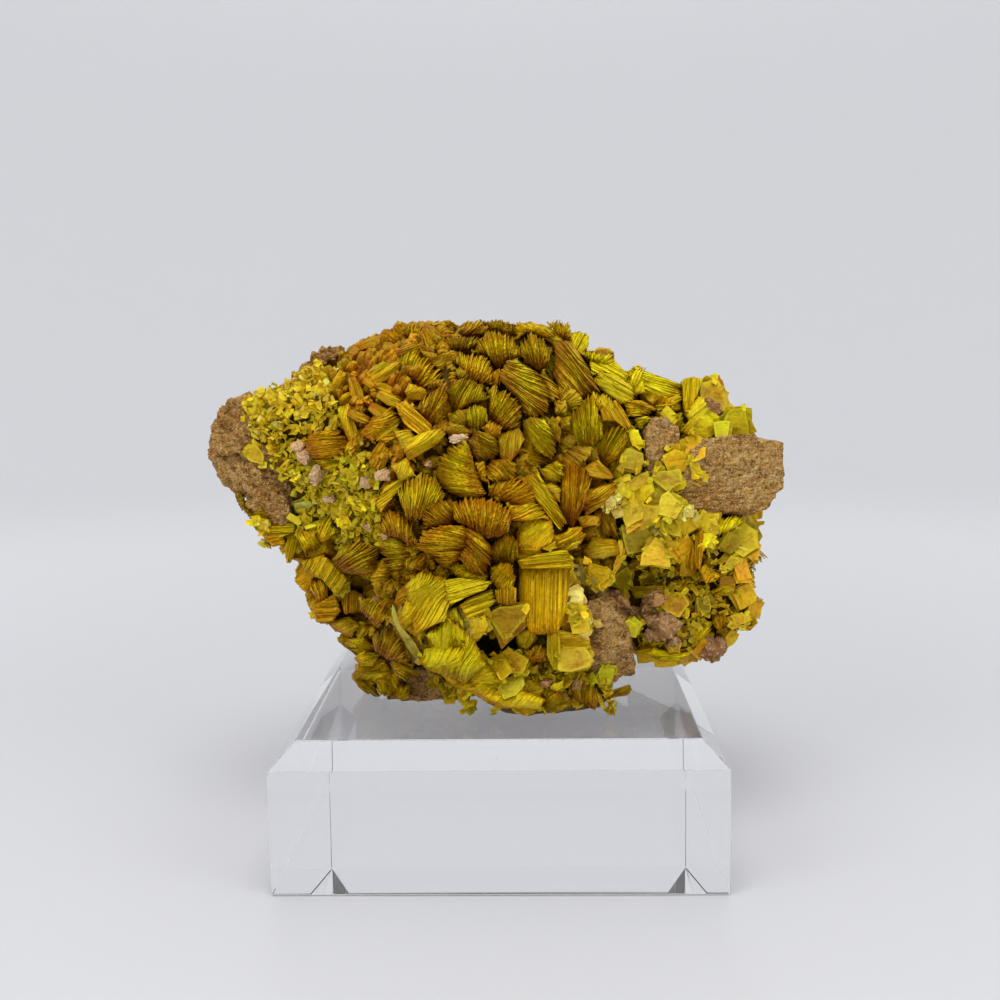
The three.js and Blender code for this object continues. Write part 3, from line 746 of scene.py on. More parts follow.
def growSheaf(bed, at, axes, width, height, reach, tint, pale=0.2):  # narrow wedges lying away from one place
    fromX, fromZ = onSheet(at) - np.array(sheafForm["from"])
    for _ in range(max(3, round(width * height / sheafForm["area"]))):
        away = math.degrees(math.atan2(fromZ, fromX)) + dice.normal(0, sheafForm["spread"])
        leaf = crystalAxes(outward(at[None])[0], dice.uniform(0, 180), dice.uniform(*sheafForm["lean"]), away)
        length = dice.uniform(*sheafForm["length"])
        place = at + axes[0] * dice.uniform(-0.5, 0.5) * width + axes[1] * dice.uniform(-0.5, 0.5) * height
        tipX, tipZ = onSheet(place + leaf[2] * length * sheafForm["shown"])
        x, z, slope = sheafForm["outline"]
        place = place - np.array([0, 0, max(0, tipZ - z - slope * (tipX - x))])
        bed.add(place - leaf[2] * length * sheafForm["embedded"], leaf, varied(tint, 0.18),
                width=dice.uniform(*sheafForm["width"]), slide=dice.uniform(*sheafForm["height"]),
                length=length, square=dice.uniform(1.6, 5), half=0.08, narrow=0.2, rootShare=0.4, groove=0.12,
                wander=0.3, jag=0.1, drift=dice.uniform(-0.1, 0.1), pale=pale)


growers = {"fan": growFan, "book": growBook, "tablet": growTablet, "flakes": growFlakes, "scales": growScales,
           "sheaf": growSheaf}

# the crystals that are seen best, each drawn as an outline
heroTones = {"lime": linear(204, 186, 14), "bright": linear(230, 210, 12), "lemon": linear(226, 192, 20),
             "gold": linear(208, 166, 10), "orange": linear(202, 144, 10), "rust": linear(166, 112, 14),
             "olive": linear(174, 148, 12), "cream": linear(238, 216, 116), "creamLime": linear(220, 190, 44),
             "paleLime": linear(200, 192, 84)}

# how ridged crystals differ: how far behind the outline the ridges meet, in its own lengths; how square their
# section is; how round they are across; how far they bulge for their size; grooves, ragged ends and how far
# ridges stand off each other in millimetres; how uneven and how bent they are; how much paler their rims are
# painted, partly their own paler tone and partly a painted highlight
ridgeWords = ["meet", "square", "round", "bulge", "groove", "ragged", "wander", "dent", "bend", "pale"]
ridgeKinds = {
    "fan": (0.8, 1.8, 2.4, 0.4, 0.46, 0.9, 0.14, 0.14, 0.12, 0.7),
    "ridged": (4, 2.0, 2.6, 0.34, 0.38, 0.65, 0.14, 0.2, 0.2, 0.5),
    "book": (30, 6, 8, 0.24, 0.26, 0.2, 0.12, 0.1, 0.05, 0.6),
    "smooth": (5, 2.4, 3, 0.28, 0.12, 0.25, 0.05, 0.3, 0.2, 0.4),
    "draped": (8, 3.4, 4, 0.26, 0.24, 0.4, 0.14, 0.55, 0.5, 0.6),
    "blade": (20, 3, 2.6, 0.42, 0.2, 0.2, 0.1, 0.1, 0.05, 0.9),
}
# the magnified parts of the view that outlines are drawn in: where each starts on the grid, right and down,
# and how many of its own steps make one of the grid
viewParts = {"crown": (380, 310, 5), "front": (370, 480, 5), "right": (560, 360, 4.5), "left": (195, 330, 4)}


def drawnIn(part, rows):  # rows with their outlines carried to whole steps of the grid
    right, down, steps = viewParts[part]
    return [(*head, [(round(right + x / steps), round(down + y / steps)) for x, y in outline])
            for *head, outline in rows]


# kind, the way its ridges run out in degrees, its colours at the upper and the lower edge, its outline;
# the two colours are partly the crystals' own tones and partly a painted highlight above and painted shade
# below
ridges = [
    *drawnIn("crown", [
        ("ridged", 150, "gold rust", [(0, 115), (60, 85), (110, 60), (160, 130), (130, 175), (60, 200),
            (0, 190)]),
        ("fan", 60, "gold rust", [(110, 60), (190, 58), (240, 75), (250, 150), (210, 165), (160, 130)]),
        ("ridged", 300, "gold rust", [(240, 70), (300, 95), (345, 155), (340, 210), (290, 225), (240, 195),
            (215, 120)]),
        ("fan", 80, "olive rust", [(335, 130), (420, 125), (520, 140), (500, 175), (440, 195), (360, 200),
            (330, 175)]),
        ("ridged", 45, "gold rust", [(420, 95), (450, 55), (520, 48), (550, 80), (540, 115), (480, 125),
            (430, 120)]),
        ("ridged", 90, "olive rust", [(520, 48), (600, 42), (660, 50), (700, 75), (690, 120), (640, 110),
            (570, 100)]),
        ("fan", 100, "lime rust", [(540, 115), (610, 105), (690, 165), (725, 200), (700, 250), (640, 275),
            (600, 290), (560, 240), (480, 215), (500, 160)]),
        ("ridged", 150, "lime gold", [(690, 70), (750, 60), (810, 85), (880, 130), (850, 150), (760, 120),
            (700, 150), (690, 110)]),
        ("fan", 100, "lime rust", [(715, 160), (760, 120), (820, 140), (860, 200), (840, 270), (800, 300),
            (740, 260), (710, 200)]),
        ("ridged", 300, "lime olive", [(830, 240), (870, 230), (905, 280), (880, 360), (840, 330),
            (825, 290)]),
        ("smooth", 330, "lime olive", [(800, 85), (880, 110), (930, 160), (900, 200), (860, 170),
            (810, 130)]),
        ("ridged", 310, "olive rust", [(880, 180), (950, 170), (1010, 240), (1060, 330), (1095, 410),
            (1040, 430), (980, 460), (930, 400), (880, 330), (890, 250)]),
        ("fan", 80, "lime orange", [(850, 75), (905, 48), (955, 70), (970, 120), (960, 165), (900, 130)]),
        ("book", 60, "lime lime", [(950, 130), (1000, 115), (1050, 130), (1045, 190), (1010, 220),
            (970, 200)]),
        ("fan", 60, "bright lime", [(1010, 220), (1060, 205), (1110, 215), (1170, 230), (1180, 270),
            (1120, 290), (1060, 260)]),
        ("book", 330, "bright lime", [(1060, 260), (1120, 280), (1180, 270), (1240, 330), (1230, 360),
            (1140, 320), (1070, 330)]),
        ("smooth", 330, "lime olive", [(1080, 350), (1150, 330), (1215, 390), (1240, 470), (1160, 440),
            (1100, 390)]),
        ("ridged", 60, "bright lime", [(1240, 330), (1270, 290), (1330, 300), (1330, 420), (1260, 430),
            (1225, 370)]),
        ("fan", 60, "lime rust", [(105, 230), (140, 190), (200, 170), (250, 230), (300, 280), (330, 330),
            (270, 395), (200, 380), (140, 320), (110, 290)]),
        ("smooth", 20, "gold rust", [(220, 200), (290, 210), (340, 240), (370, 205), (385, 250), (340, 300),
            (300, 290), (240, 235)]),
        ("smooth", 40, "gold olive", [(135, 400), (160, 360), (220, 380), (250, 410), (210, 440),
            (150, 440)]),
        ("fan", 75, "lime orange", [(390, 215), (440, 205), (500, 215), (560, 240), (570, 300), (560, 365),
            (500, 360), (440, 310), (400, 260)]),
        ("ridged", 90, "gold rust", [(560, 300), (620, 290), (640, 330), (600, 380), (550, 370)]),
        ("fan", 330, "lime rust", [(610, 330), (650, 265), (690, 255), (740, 285), (800, 330), (840, 380),
            (860, 430), (840, 520), (780, 545), (720, 500), (690, 430), (630, 370)]),
        ("fan", 325, "olive rust", [(800, 330), (830, 305), (880, 360), (925, 430), (890, 470), (850, 450),
            (830, 390)]),
        ("ridged", 60, "lime rust", [(350, 420), (380, 360), (440, 340), (520, 370), (545, 430), (500, 460),
            (440, 470), (390, 510), (360, 470)]),
        ("ridged", 90, "lime olive", [(430, 520), (450, 475), (500, 460), (535, 490), (540, 560),
            (500, 600), (450, 580)]),
        ("fan", 60, "lime rust", [(540, 400), (580, 375), (640, 400), (690, 440), (715, 500), (700, 570),
            (650, 600), (600, 590), (550, 540), (560, 470)]),
        ("ridged", 60, "orange rust", [(520, 590), (560, 545), (620, 570), (600, 630), (560, 640)]),
        ("smooth", 80, "olive rust", [(600, 620), (700, 590), (720, 640), (700, 700), (650, 760),
            (610, 740)]),
        ("ridged", 330, "olive rust", [(450, 650), (490, 605), (540, 615), (595, 660), (600, 720),
            (550, 750), (490, 740), (465, 700)]),
        ("ridged", 315, "lime olive", [(720, 560), (760, 540), (820, 555), (870, 620), (880, 710),
            (860, 740), (790, 710), (740, 650)]),
        ("ridged", 80, "olive rust", [(850, 560), (890, 550), (910, 600), (900, 660), (870, 640)]),
        ("smooth", 40, "olive rust", [(880, 520), (920, 480), (970, 460), (985, 500), (950, 540),
            (900, 545)]),
        ("fan", 95, "lime olive", [(940, 570), (960, 510), (1030, 450), (1070, 410), (1080, 480),
            (1110, 560), (1110, 640), (1050, 690), (1000, 740), (960, 660)]),
        ("ridged", 80, "lime gold", [(1075, 420), (1130, 415), (1160, 450), (1180, 500), (1140, 530),
            (1090, 500)]),
        ("book", 300, "gold orange", [(1110, 500), (1180, 460), (1220, 510), (1260, 590), (1230, 610),
            (1180, 560), (1120, 560)]),
        ("fan", 62, "lime gold", [(1060, 700), (1110, 630), (1150, 590), (1195, 575), (1240, 590),
            (1240, 680), (1200, 740), (1130, 780), (1080, 740)]),
        ("ridged", 340, "gold rust", [(680, 690), (740, 690), (820, 720), (870, 760), (800, 790),
            (730, 770)]),
        ("smooth", 20, "olive rust", [(330, 600), (360, 560), (420, 570), (460, 600), (420, 620),
            (360, 620)]),
        ("book", 320, "gold orange", [(90, 470), (140, 450), (200, 510), (260, 560), (260, 600), (200, 615),
            (130, 560)]),
        ("fan", 62, "gold rust", [(190, 480), (240, 420), (300, 385), (340, 350), (345, 420), (320, 500),
            (290, 560), (250, 560), (210, 520)]),
        ("smooth", 35, "lime gold", [(130, 680), (180, 630), (240, 600), (300, 590), (330, 610), (290, 660),
            (220, 700), (150, 740)]),
        ("smooth", 20, "gold orange", [(0, 480), (60, 490), (90, 540), (60, 600), (0, 640)]),
        ("smooth", 20, "gold orange", [(70, 780), (100, 740), (160, 745), (180, 790), (140, 830),
            (90, 830)]),
        ("fan", 165, "lime gold", [(275, 800), (300, 740), (380, 670), (420, 655), (450, 690), (470, 770),
            (500, 860), (520, 910), (470, 940), (400, 930), (330, 900), (290, 860)]),
        ("ridged", 315, "gold rust", [(530, 800), (560, 750), (640, 745), (690, 780), (680, 850),
            (600, 870), (550, 860)]),
        ("ridged", 300, "gold orange", [(560, 910), (600, 870), (660, 860), (670, 910), (640, 960),
            (590, 970)]),
        ("ridged", 310, "lime gold", [(710, 850), (790, 815), (830, 880), (880, 960), (930, 1060),
            (900, 1100), (800, 960), (730, 880)]),
        ("fan", 85, "gold rust", [(920, 770), (970, 765), (1020, 790), (1060, 840), (1040, 900),
            (1010, 1000), (960, 1090), (910, 1040), (900, 940), (915, 860)]),
        ("smooth", 330, "gold rust", [(1030, 790), (1090, 755), (1150, 810), (1170, 850), (1100, 850),
            (1050, 830)]),
        ("ridged", 32, "gold rust", [(1010, 960), (1040, 910), (1120, 880), (1200, 860), (1180, 910),
            (1110, 980), (1030, 1030)]),
        ("ridged", 330, "lime gold", [(800, 800), (880, 760), (930, 790), (910, 860), (880, 870),
            (830, 840)]),
        ("smooth", 0, "olive rust", [(830, 880), (870, 870), (910, 900), (900, 960), (870, 950)]),
        ("ridged", 20, "gold olive", [(180, 800), (200, 760), (260, 780), (270, 810), (230, 830)]),
        ("ridged", 60, "gold rust", [(480, 760), (530, 750), (540, 860), (500, 840)]),
    ]),
    *drawnIn("front", [
        ("fan", 80, "lime gold", [(150, 90), (140, 40), (190, -10), (260, -40), (320, -20), (370, 60),
            (340, 130), (240, 190), (180, 170)]),
        ("fan", 140, "creamLime rust", [(250, 190), (280, 130), (340, 90), (420, 95), (440, 140),
            (430, 200), (400, 230), (330, 230), (270, 240)]),
        ("fan", 88, "gold rust", [(420, 110), (500, 80), (590, 85), (690, 130), (700, 200), (680, 260),
            (600, 290), (540, 270), (480, 230), (430, 200)]),
        ("fan", 175, "lemon rust", [(220, 320), (260, 260), (330, 230), (420, 230), (480, 250), (520, 300),
            (470, 370), (400, 430), (340, 440), (300, 380), (240, 350)]),
        ("fan", 310, "gold rust", [(480, 250), (560, 290), (600, 340), (600, 420), (560, 490), (500, 480),
            (470, 430), (440, 390), (480, 330)]),
        ("ridged", 20, "bright lime", [(380, 430), (440, 410), (500, 440), (590, 480), (560, 520),
            (500, 510), (430, 490)]),
        ("book", 15, "lime lime", [(370, 510), (450, 500), (530, 510), (600, 520), (560, 560), (480, 590),
            (400, 630), (380, 600)]),
        ("book", 20, "lime gold", [(440, 640), (500, 600), (600, 560), (620, 620), (560, 670), (480, 705)]),
        ("ridged", 60, "gold olive", [(600, 450), (650, 420), (700, 420), (720, 500), (700, 560),
            (640, 560), (600, 510)]),
        ("ridged", 88, "gold olive", [(600, 330), (680, 260), (730, 300), (735, 390), (700, 420),
            (650, 420), (600, 420)]),
        ("book", 90, "gold rust", [(620, 560), (700, 540), (725, 560), (720, 630), (680, 635), (630, 625)]),
        ("smooth", 50, "lime gold", [(735, 270), (790, 200), (850, 190), (905, 220), (920, 290), (880, 330),
            (800, 370), (740, 340)]),
        ("smooth", 0, "gold olive", [(740, 330), (800, 370), (860, 350), (850, 390), (780, 400),
            (740, 380)]),
        ("ridged", 20, "lime orange", [(690, 120), (760, 130), (830, 110), (870, 140), (900, 210),
            (840, 190), (770, 210), (700, 200)]),
        ("fan", 35, "gold orange", [(600, 30), (650, 10), (740, -10), (820, 30), (860, 80), (800, 140),
            (740, 150), (690, 120), (640, 90), (600, 90)]),
        ("smooth", 30, "gold rust", [(1040, 200), (1090, 180), (1150, 190), (1140, 230), (1060, 245)]),
        ("ridged", 300, "gold rust", [(1150, 150), (1190, 150), (1230, 210), (1240, 290), (1190, 300),
            (1160, 230)]),
        ("ridged", 30, "gold olive", [(940, 310), (1000, 250), (1060, 240), (1080, 290), (1040, 340),
            (980, 360), (930, 350)]),
        ("smooth", 0, "orange gold", [(900, 290), (980, 270), (990, 310), (920, 330)]),
        ("smooth", 0, "gold olive", [(860, 350), (920, 320), (940, 345), (900, 365)]),
        ("fan", 100, "gold rust", [(30, 220), (90, 130), (130, 160), (200, 210), (240, 320), (180, 330),
            (140, 290), (60, 270)]),
        ("fan", 185, "lime rust", [(20, 330), (60, 290), (130, 300), (190, 340), (210, 380), (160, 450),
            (120, 520), (70, 460), (60, 400)]),
        ("book", 30, "gold rust", [(110, 620), (130, 560), (190, 510), (270, 450), (330, 520), (340, 560),
            (290, 540), (200, 540), (130, 640)]),
        ("draped", 45, "lemon lime", [(125, 700), (150, 640), (200, 570), (290, 535), (340, 590),
            (380, 650), (320, 700), (280, 760), (240, 830), (180, 770), (140, 740)]),
        ("draped", 30, "lime lime", [(230, 830), (260, 770), (330, 720), (360, 690), (390, 740), (400, 800),
            (370, 840), (300, 850), (250, 860)]),
        ("draped", 80, "lime lime", [(350, 680), (430, 650), (445, 700), (450, 770), (470, 840), (400, 850),
            (390, 780)]),
        ("draped", 45, "bright lime", [(230, 940), (270, 870), (340, 850), (460, 850), (470, 920),
            (440, 1000), (370, 1010), (290, 980)]),
        ("draped", 20, "bright gold", [(340, 1000), (420, 960), (470, 930), (540, 960), (600, 1030),
            (610, 1100), (560, 1110), (480, 1090), (400, 1060)]),
        ("ridged", 20, "olive gold", [(650, 1140), (700, 1110), (780, 1110), (860, 1120), (850, 1180),
            (760, 1220), (720, 1200)]),
        ("ridged", 40, "gold olive", [(860, 1110), (900, 1080), (960, 1100), (1010, 1120), (1000, 1170),
            (930, 1200), (870, 1190)]),
        ("ridged", 100, "olive rust", [(980, 1060), (1060, 1030), (1120, 1060), (1150, 1120), (1120, 1190),
            (1040, 1150)]),
        ("smooth", 10, "gold olive", [(760, 1020), (850, 1020), (890, 1080), (840, 1120), (770, 1100)]),
        ("smooth", 70, "gold olive", [(720, 770), (800, 760), (830, 810), (780, 880), (730, 850)]),
        ("ridged", 80, "gold rust", [(770, 880), (830, 840), (880, 860), (870, 930), (800, 940)]),
        ("ridged", 10, "olive rust", [(800, 940), (880, 930), (900, 980), (840, 1000)]),
        ("book", 5, "lime gold", [(745, 410), (850, 380), (980, 360), (1005, 420), (1000, 450), (900, 450),
            (760, 450)]),
        ("book", 88, "lemon gold", [(750, 440), (860, 440), (1000, 440), (1010, 470), (960, 520),
            (980, 600), (960, 700), (930, 770), (850, 780), (800, 770), (770, 700), (750, 600)]),
        ("book", 90, "creamLime lime", [(885, 780), (935, 772), (945, 870), (945, 975), (910, 975),
            (880, 900)]),
        ("book", 4, "creamLime gold", [(935, 775), (1020, 790), (1095, 830), (1095, 870), (1000, 870),
            (940, 870)]),
    ]),
    *drawnIn("right", [
        ("book", 330, "lime olive", [(160, 100), (190, 65), (260, 80), (330, 130), (330, 190), (270, 200),
            (210, 150)]),
        ("ridged", 340, "bright lime", [(250, 70), (300, 60), (330, 130), (290, 120)]),
        ("ridged", 340, "bright lime", [(320, 60), (360, 35), (420, 90), (480, 110), (550, 120), (550, 185),
            (480, 180), (400, 150), (330, 130)]),
        ("book", 85, "bright gold", [(555, 100), (600, 92), (640, 100), (615, 160), (600, 200), (580, 230),
            (558, 225)]),
        ("smooth", 60, "lime gold", [(545, 330), (600, 260), (610, 350), (570, 345)]),
        ("book", 3, "bright lime", [(435, 210), (540, 205), (540, 235), (440, 245)]),
        ("ridged", 345, "gold olive", [(290, 190), (380, 195), (440, 230), (380, 260), (310, 250)]),
        ("ridged", 10, "lime olive", [(340, 270), (400, 255), (420, 270), (380, 310), (340, 310)]),
        ("ridged", 60, "lime olive", [(500, 250), (550, 240), (560, 300), (520, 310)]),
        ("fan", 300, "gold rust", [(180, 680), (230, 720), (270, 780), (240, 810), (190, 770)]),
        ("smooth", 10, "gold olive", [(110, 870), (150, 810), (250, 820), (270, 880), (200, 900),
            (130, 900)]),
        ("book", 85, "orange orange", [(570, 830), (600, 800), (610, 900), (600, 960), (560, 930)]),
        ("book", 88, "orange orange", [(610, 810), (645, 765), (650, 860), (635, 960), (612, 940)]),
        ("book", 110, "orange rust", [(540, 940), (570, 950), (620, 1020), (600, 1040), (560, 990)]),
        ("book", 60, "gold orange", [(630, 960), (660, 930), (700, 1010), (660, 1020)]),
        ("fan", 30, "gold orange", [(640, 960), (690, 940), (740, 990), (700, 1010), (650, 1000)]),
        ("book", 70, "orange rust", [(580, 1100), (620, 1040), (650, 1080), (600, 1110)]),
        ("book", 3, "gold olive", [(325, 1050), (340, 1035), (470, 1035), (470, 1080), (340, 1090)]),
        ("fan", 60, "bright lime", [(700, 730), (800, 700), (830, 730), (780, 780), (720, 800)]),
        ("ridged", 60, "lime gold", [(830, 940), (880, 960), (880, 1040), (840, 1050), (800, 1010)]),
        ("ridged", 60, "lime gold", [(860, 1070), (895, 1070), (895, 1200), (860, 1240), (820, 1200),
            (850, 1150)]),
        ("ridged", 20, "lime gold", [(680, 1060), (750, 1030), (800, 1040), (760, 1080), (700, 1080)]),
        ("fan", 100, "orange gold", [(690, 1150), (740, 1140), (765, 1200), (720, 1240), (690, 1200)]),
        ("fan", 60, "bright gold", [(580, 1255), (620, 1200), (690, 1190), (700, 1270), (650, 1310),
            (590, 1300)]),
        ("fan", 60, "creamLime gold", [(440, 1270), (500, 1240), (540, 1290), (520, 1350), (450, 1320)]),
        ("ridged", 10, "bright lime", [(390, 1350), (440, 1320), (520, 1350), (600, 1340), (560, 1380),
            (460, 1385)]),
        ("ridged", 20, "lime gold", [(780, 1230), (830, 1200), (880, 1230), (830, 1245)]),
        ("ridged", 60, "lime gold", [(300, 1300), (340, 1280), (390, 1340), (340, 1350)]),
    ]),
    *drawnIn("left", [
        ("book", 2, "lime gold", [(220, 750), (300, 760), (390, 770), (380, 800), (300, 830), (250, 790)]),
        ("book", 10, "gold orange", [(240, 800), (330, 800), (345, 850), (290, 860)]),
        ("book", 75, "lime gold", [(340, 870), (360, 810), (400, 810), (395, 850), (365, 925), (350, 925)]),
        ("fan", 300, "lime gold", [(390, 800), (480, 800), (490, 880), (430, 905)]),
        ("ridged", 60, "lime gold", [(480, 760), (530, 730), (560, 800), (500, 850), (470, 830)]),
        ("fan", 30, "lime rust", [(535, 920), (580, 870), (650, 840), (720, 880), (730, 960), (650, 980),
            (580, 970)]),
        ("book", 60, "gold olive", [(410, 930), (500, 900), (560, 960), (600, 1010), (540, 1060),
            (490, 1000), (430, 970)]),
        ("ridged", 100, "gold orange", [(440, 990), (500, 1010), (510, 1070), (470, 1090), (445, 1040)]),
        ("book", 86, "orange rust", [(560, 1060), (620, 1040), (660, 1070), (650, 1130), (580, 1140)]),
        ("book", 4, "gold orange", [(450, 1110), (540, 1060), (560, 1130), (530, 1170), (470, 1175)]),
        ("smooth", 20, "olive rust", [(510, 1180), (600, 1150), (640, 1190), (600, 1240), (530, 1210)]),
        ("ridged", 60, "olive rust", [(640, 1080), (720, 1080), (760, 1150), (700, 1190), (650, 1140)]),
        ("ridged", 60, "gold olive", [(590, 990), (660, 970), (700, 1000), (650, 1040), (600, 1040)]),
        ("fan", 170, "lime gold", [(565, 1255), (640, 1240), (700, 1290), (640, 1330), (600, 1300)]),
        ("fan", 60, "olive rust", [(690, 1230), (760, 1190), (820, 1260), (840, 1360), (760, 1340),
            (700, 1300)]),
    ]),
    ("ridged", 20, "lime gold", [(348, 662), (360, 655), (375, 658), (370, 668), (355, 672)]),
    ("draped", 20, "gold olive", [(349, 672), (365, 668), (378, 665), (385, 675), (375, 685), (360, 688),
        (349, 685)]),
    ("ridged", 320, "olive rust", [(350, 686), (365, 685), (370, 695), (375, 705), (360, 700), (351, 692)]),
    ("ridged", 300, "gold olive", [(370, 685), (385, 675), (395, 685), (392, 698), (380, 705), (372, 698)]),
    ("ridged", 60, "lime gold", [(392, 690), (404, 690), (404, 702), (395, 708), (388, 702)]),
    ("fan", 330, "olive rust", [(385, 665), (405, 670), (415, 680), (402, 688), (388, 678)]),
    *drawnIn("left", [
        ("ridged", 5, "gold orange", [(440, 440), (480, 400), (560, 390), (620, 430), (660, 450),
            (580, 500), (480, 500), (450, 470)]),
        ("smooth", 85, "lime gold", [(580, 300), (620, 290), (640, 340), (665, 430), (620, 440),
            (590, 360)]),
        ("smooth", 60, "gold orange", [(580, 450), (620, 415), (640, 440), (610, 500), (585, 480)]),
        ("ridged", 10, "lime gold", [(480, 510), (560, 500), (600, 530), (540, 560), (490, 540)]),
        ("book", 60, "orange orange", [(695, 500), (745, 435), (785, 480), (750, 560), (700, 530)]),
        ("ridged", 15, "gold orange", [(670, 400), (720, 340), (800, 300), (820, 360), (760, 400),
            (720, 440)]),
        ("book", 10, "gold orange", [(720, 400), (800, 370), (830, 410), (760, 445)]),
        ("smooth", 20, "gold rust", [(820, 330), (880, 290), (900, 330), (860, 380)]),
        ("smooth", 60, "gold olive", [(790, 540), (850, 500), (880, 580), (820, 600)]),
        ("book", 35, "lime gold", [(720, 690), (760, 620), (850, 580), (800, 650), (740, 720)]),
        ("book", 30, "gold orange", [(730, 640), (760, 600), (820, 590), (760, 660)]),
        ("ridged", 30, "gold rust", [(660, 600), (720, 590), (720, 650), (670, 640)]),
        ("smooth", 10, "gold olive", [(800, 400), (870, 390), (890, 440), (830, 460)]),
        ("ridged", 60, "lime gold", [(830, 450), (880, 440), (880, 520), (845, 500)]),
    ]),
    ("smooth", 20, "olive rust", [(606, 700), (622, 697), (630, 692), (632, 697), (628, 703), (610, 706)]),
    ("ridged", 60, "olive rust", [(232, 494), (238, 487), (246, 500), (256, 514), (246, 516), (236, 504)]),
    ("draped", 50, "lime lemon", [(404, 590), (420, 574), (442, 580), (452, 602), (438, 622), (412, 634)]),
    ("draped", 70, "bright lime", [(424, 640), (450, 620), (468, 640), (480, 668), (460, 688), (438, 674)]),
    ("draped", 30, "lime lemon", [(462, 678), (486, 670), (512, 694), (542, 706), (534, 716), (498, 714),
        (470, 700)]),
    ("fan", 200, "olive gold", [(246, 512), (258, 506), (270, 516), (262, 524), (250, 522)]),
]
# narrow crystals of the sheaf: from x, y to x, y, and how wide
blades = [
    (367, 378, 406, 398, 12), (354, 376, 363, 406, 12), (345, 370, 334, 392, 11), (354, 373, 350, 353, 10),
    (358, 366, 372, 351, 11), (370, 374, 391, 361, 9), (374, 380, 403, 361, 13), (372, 404, 397, 421, 13),
    (376, 436, 401, 417, 11), (342, 382, 326, 375, 9), (398, 384, 413, 365, 10), (352, 392, 340, 402, 9),
    (380, 392, 404, 404, 11), (362, 346, 396, 334, 10), (398, 336, 420, 326, 9), (330, 352, 348, 346, 8),
    (400, 352, 424, 344, 10), (385, 352, 372, 342, 8), (410, 400, 424, 388, 10), (350, 410, 372, 420, 10),
]
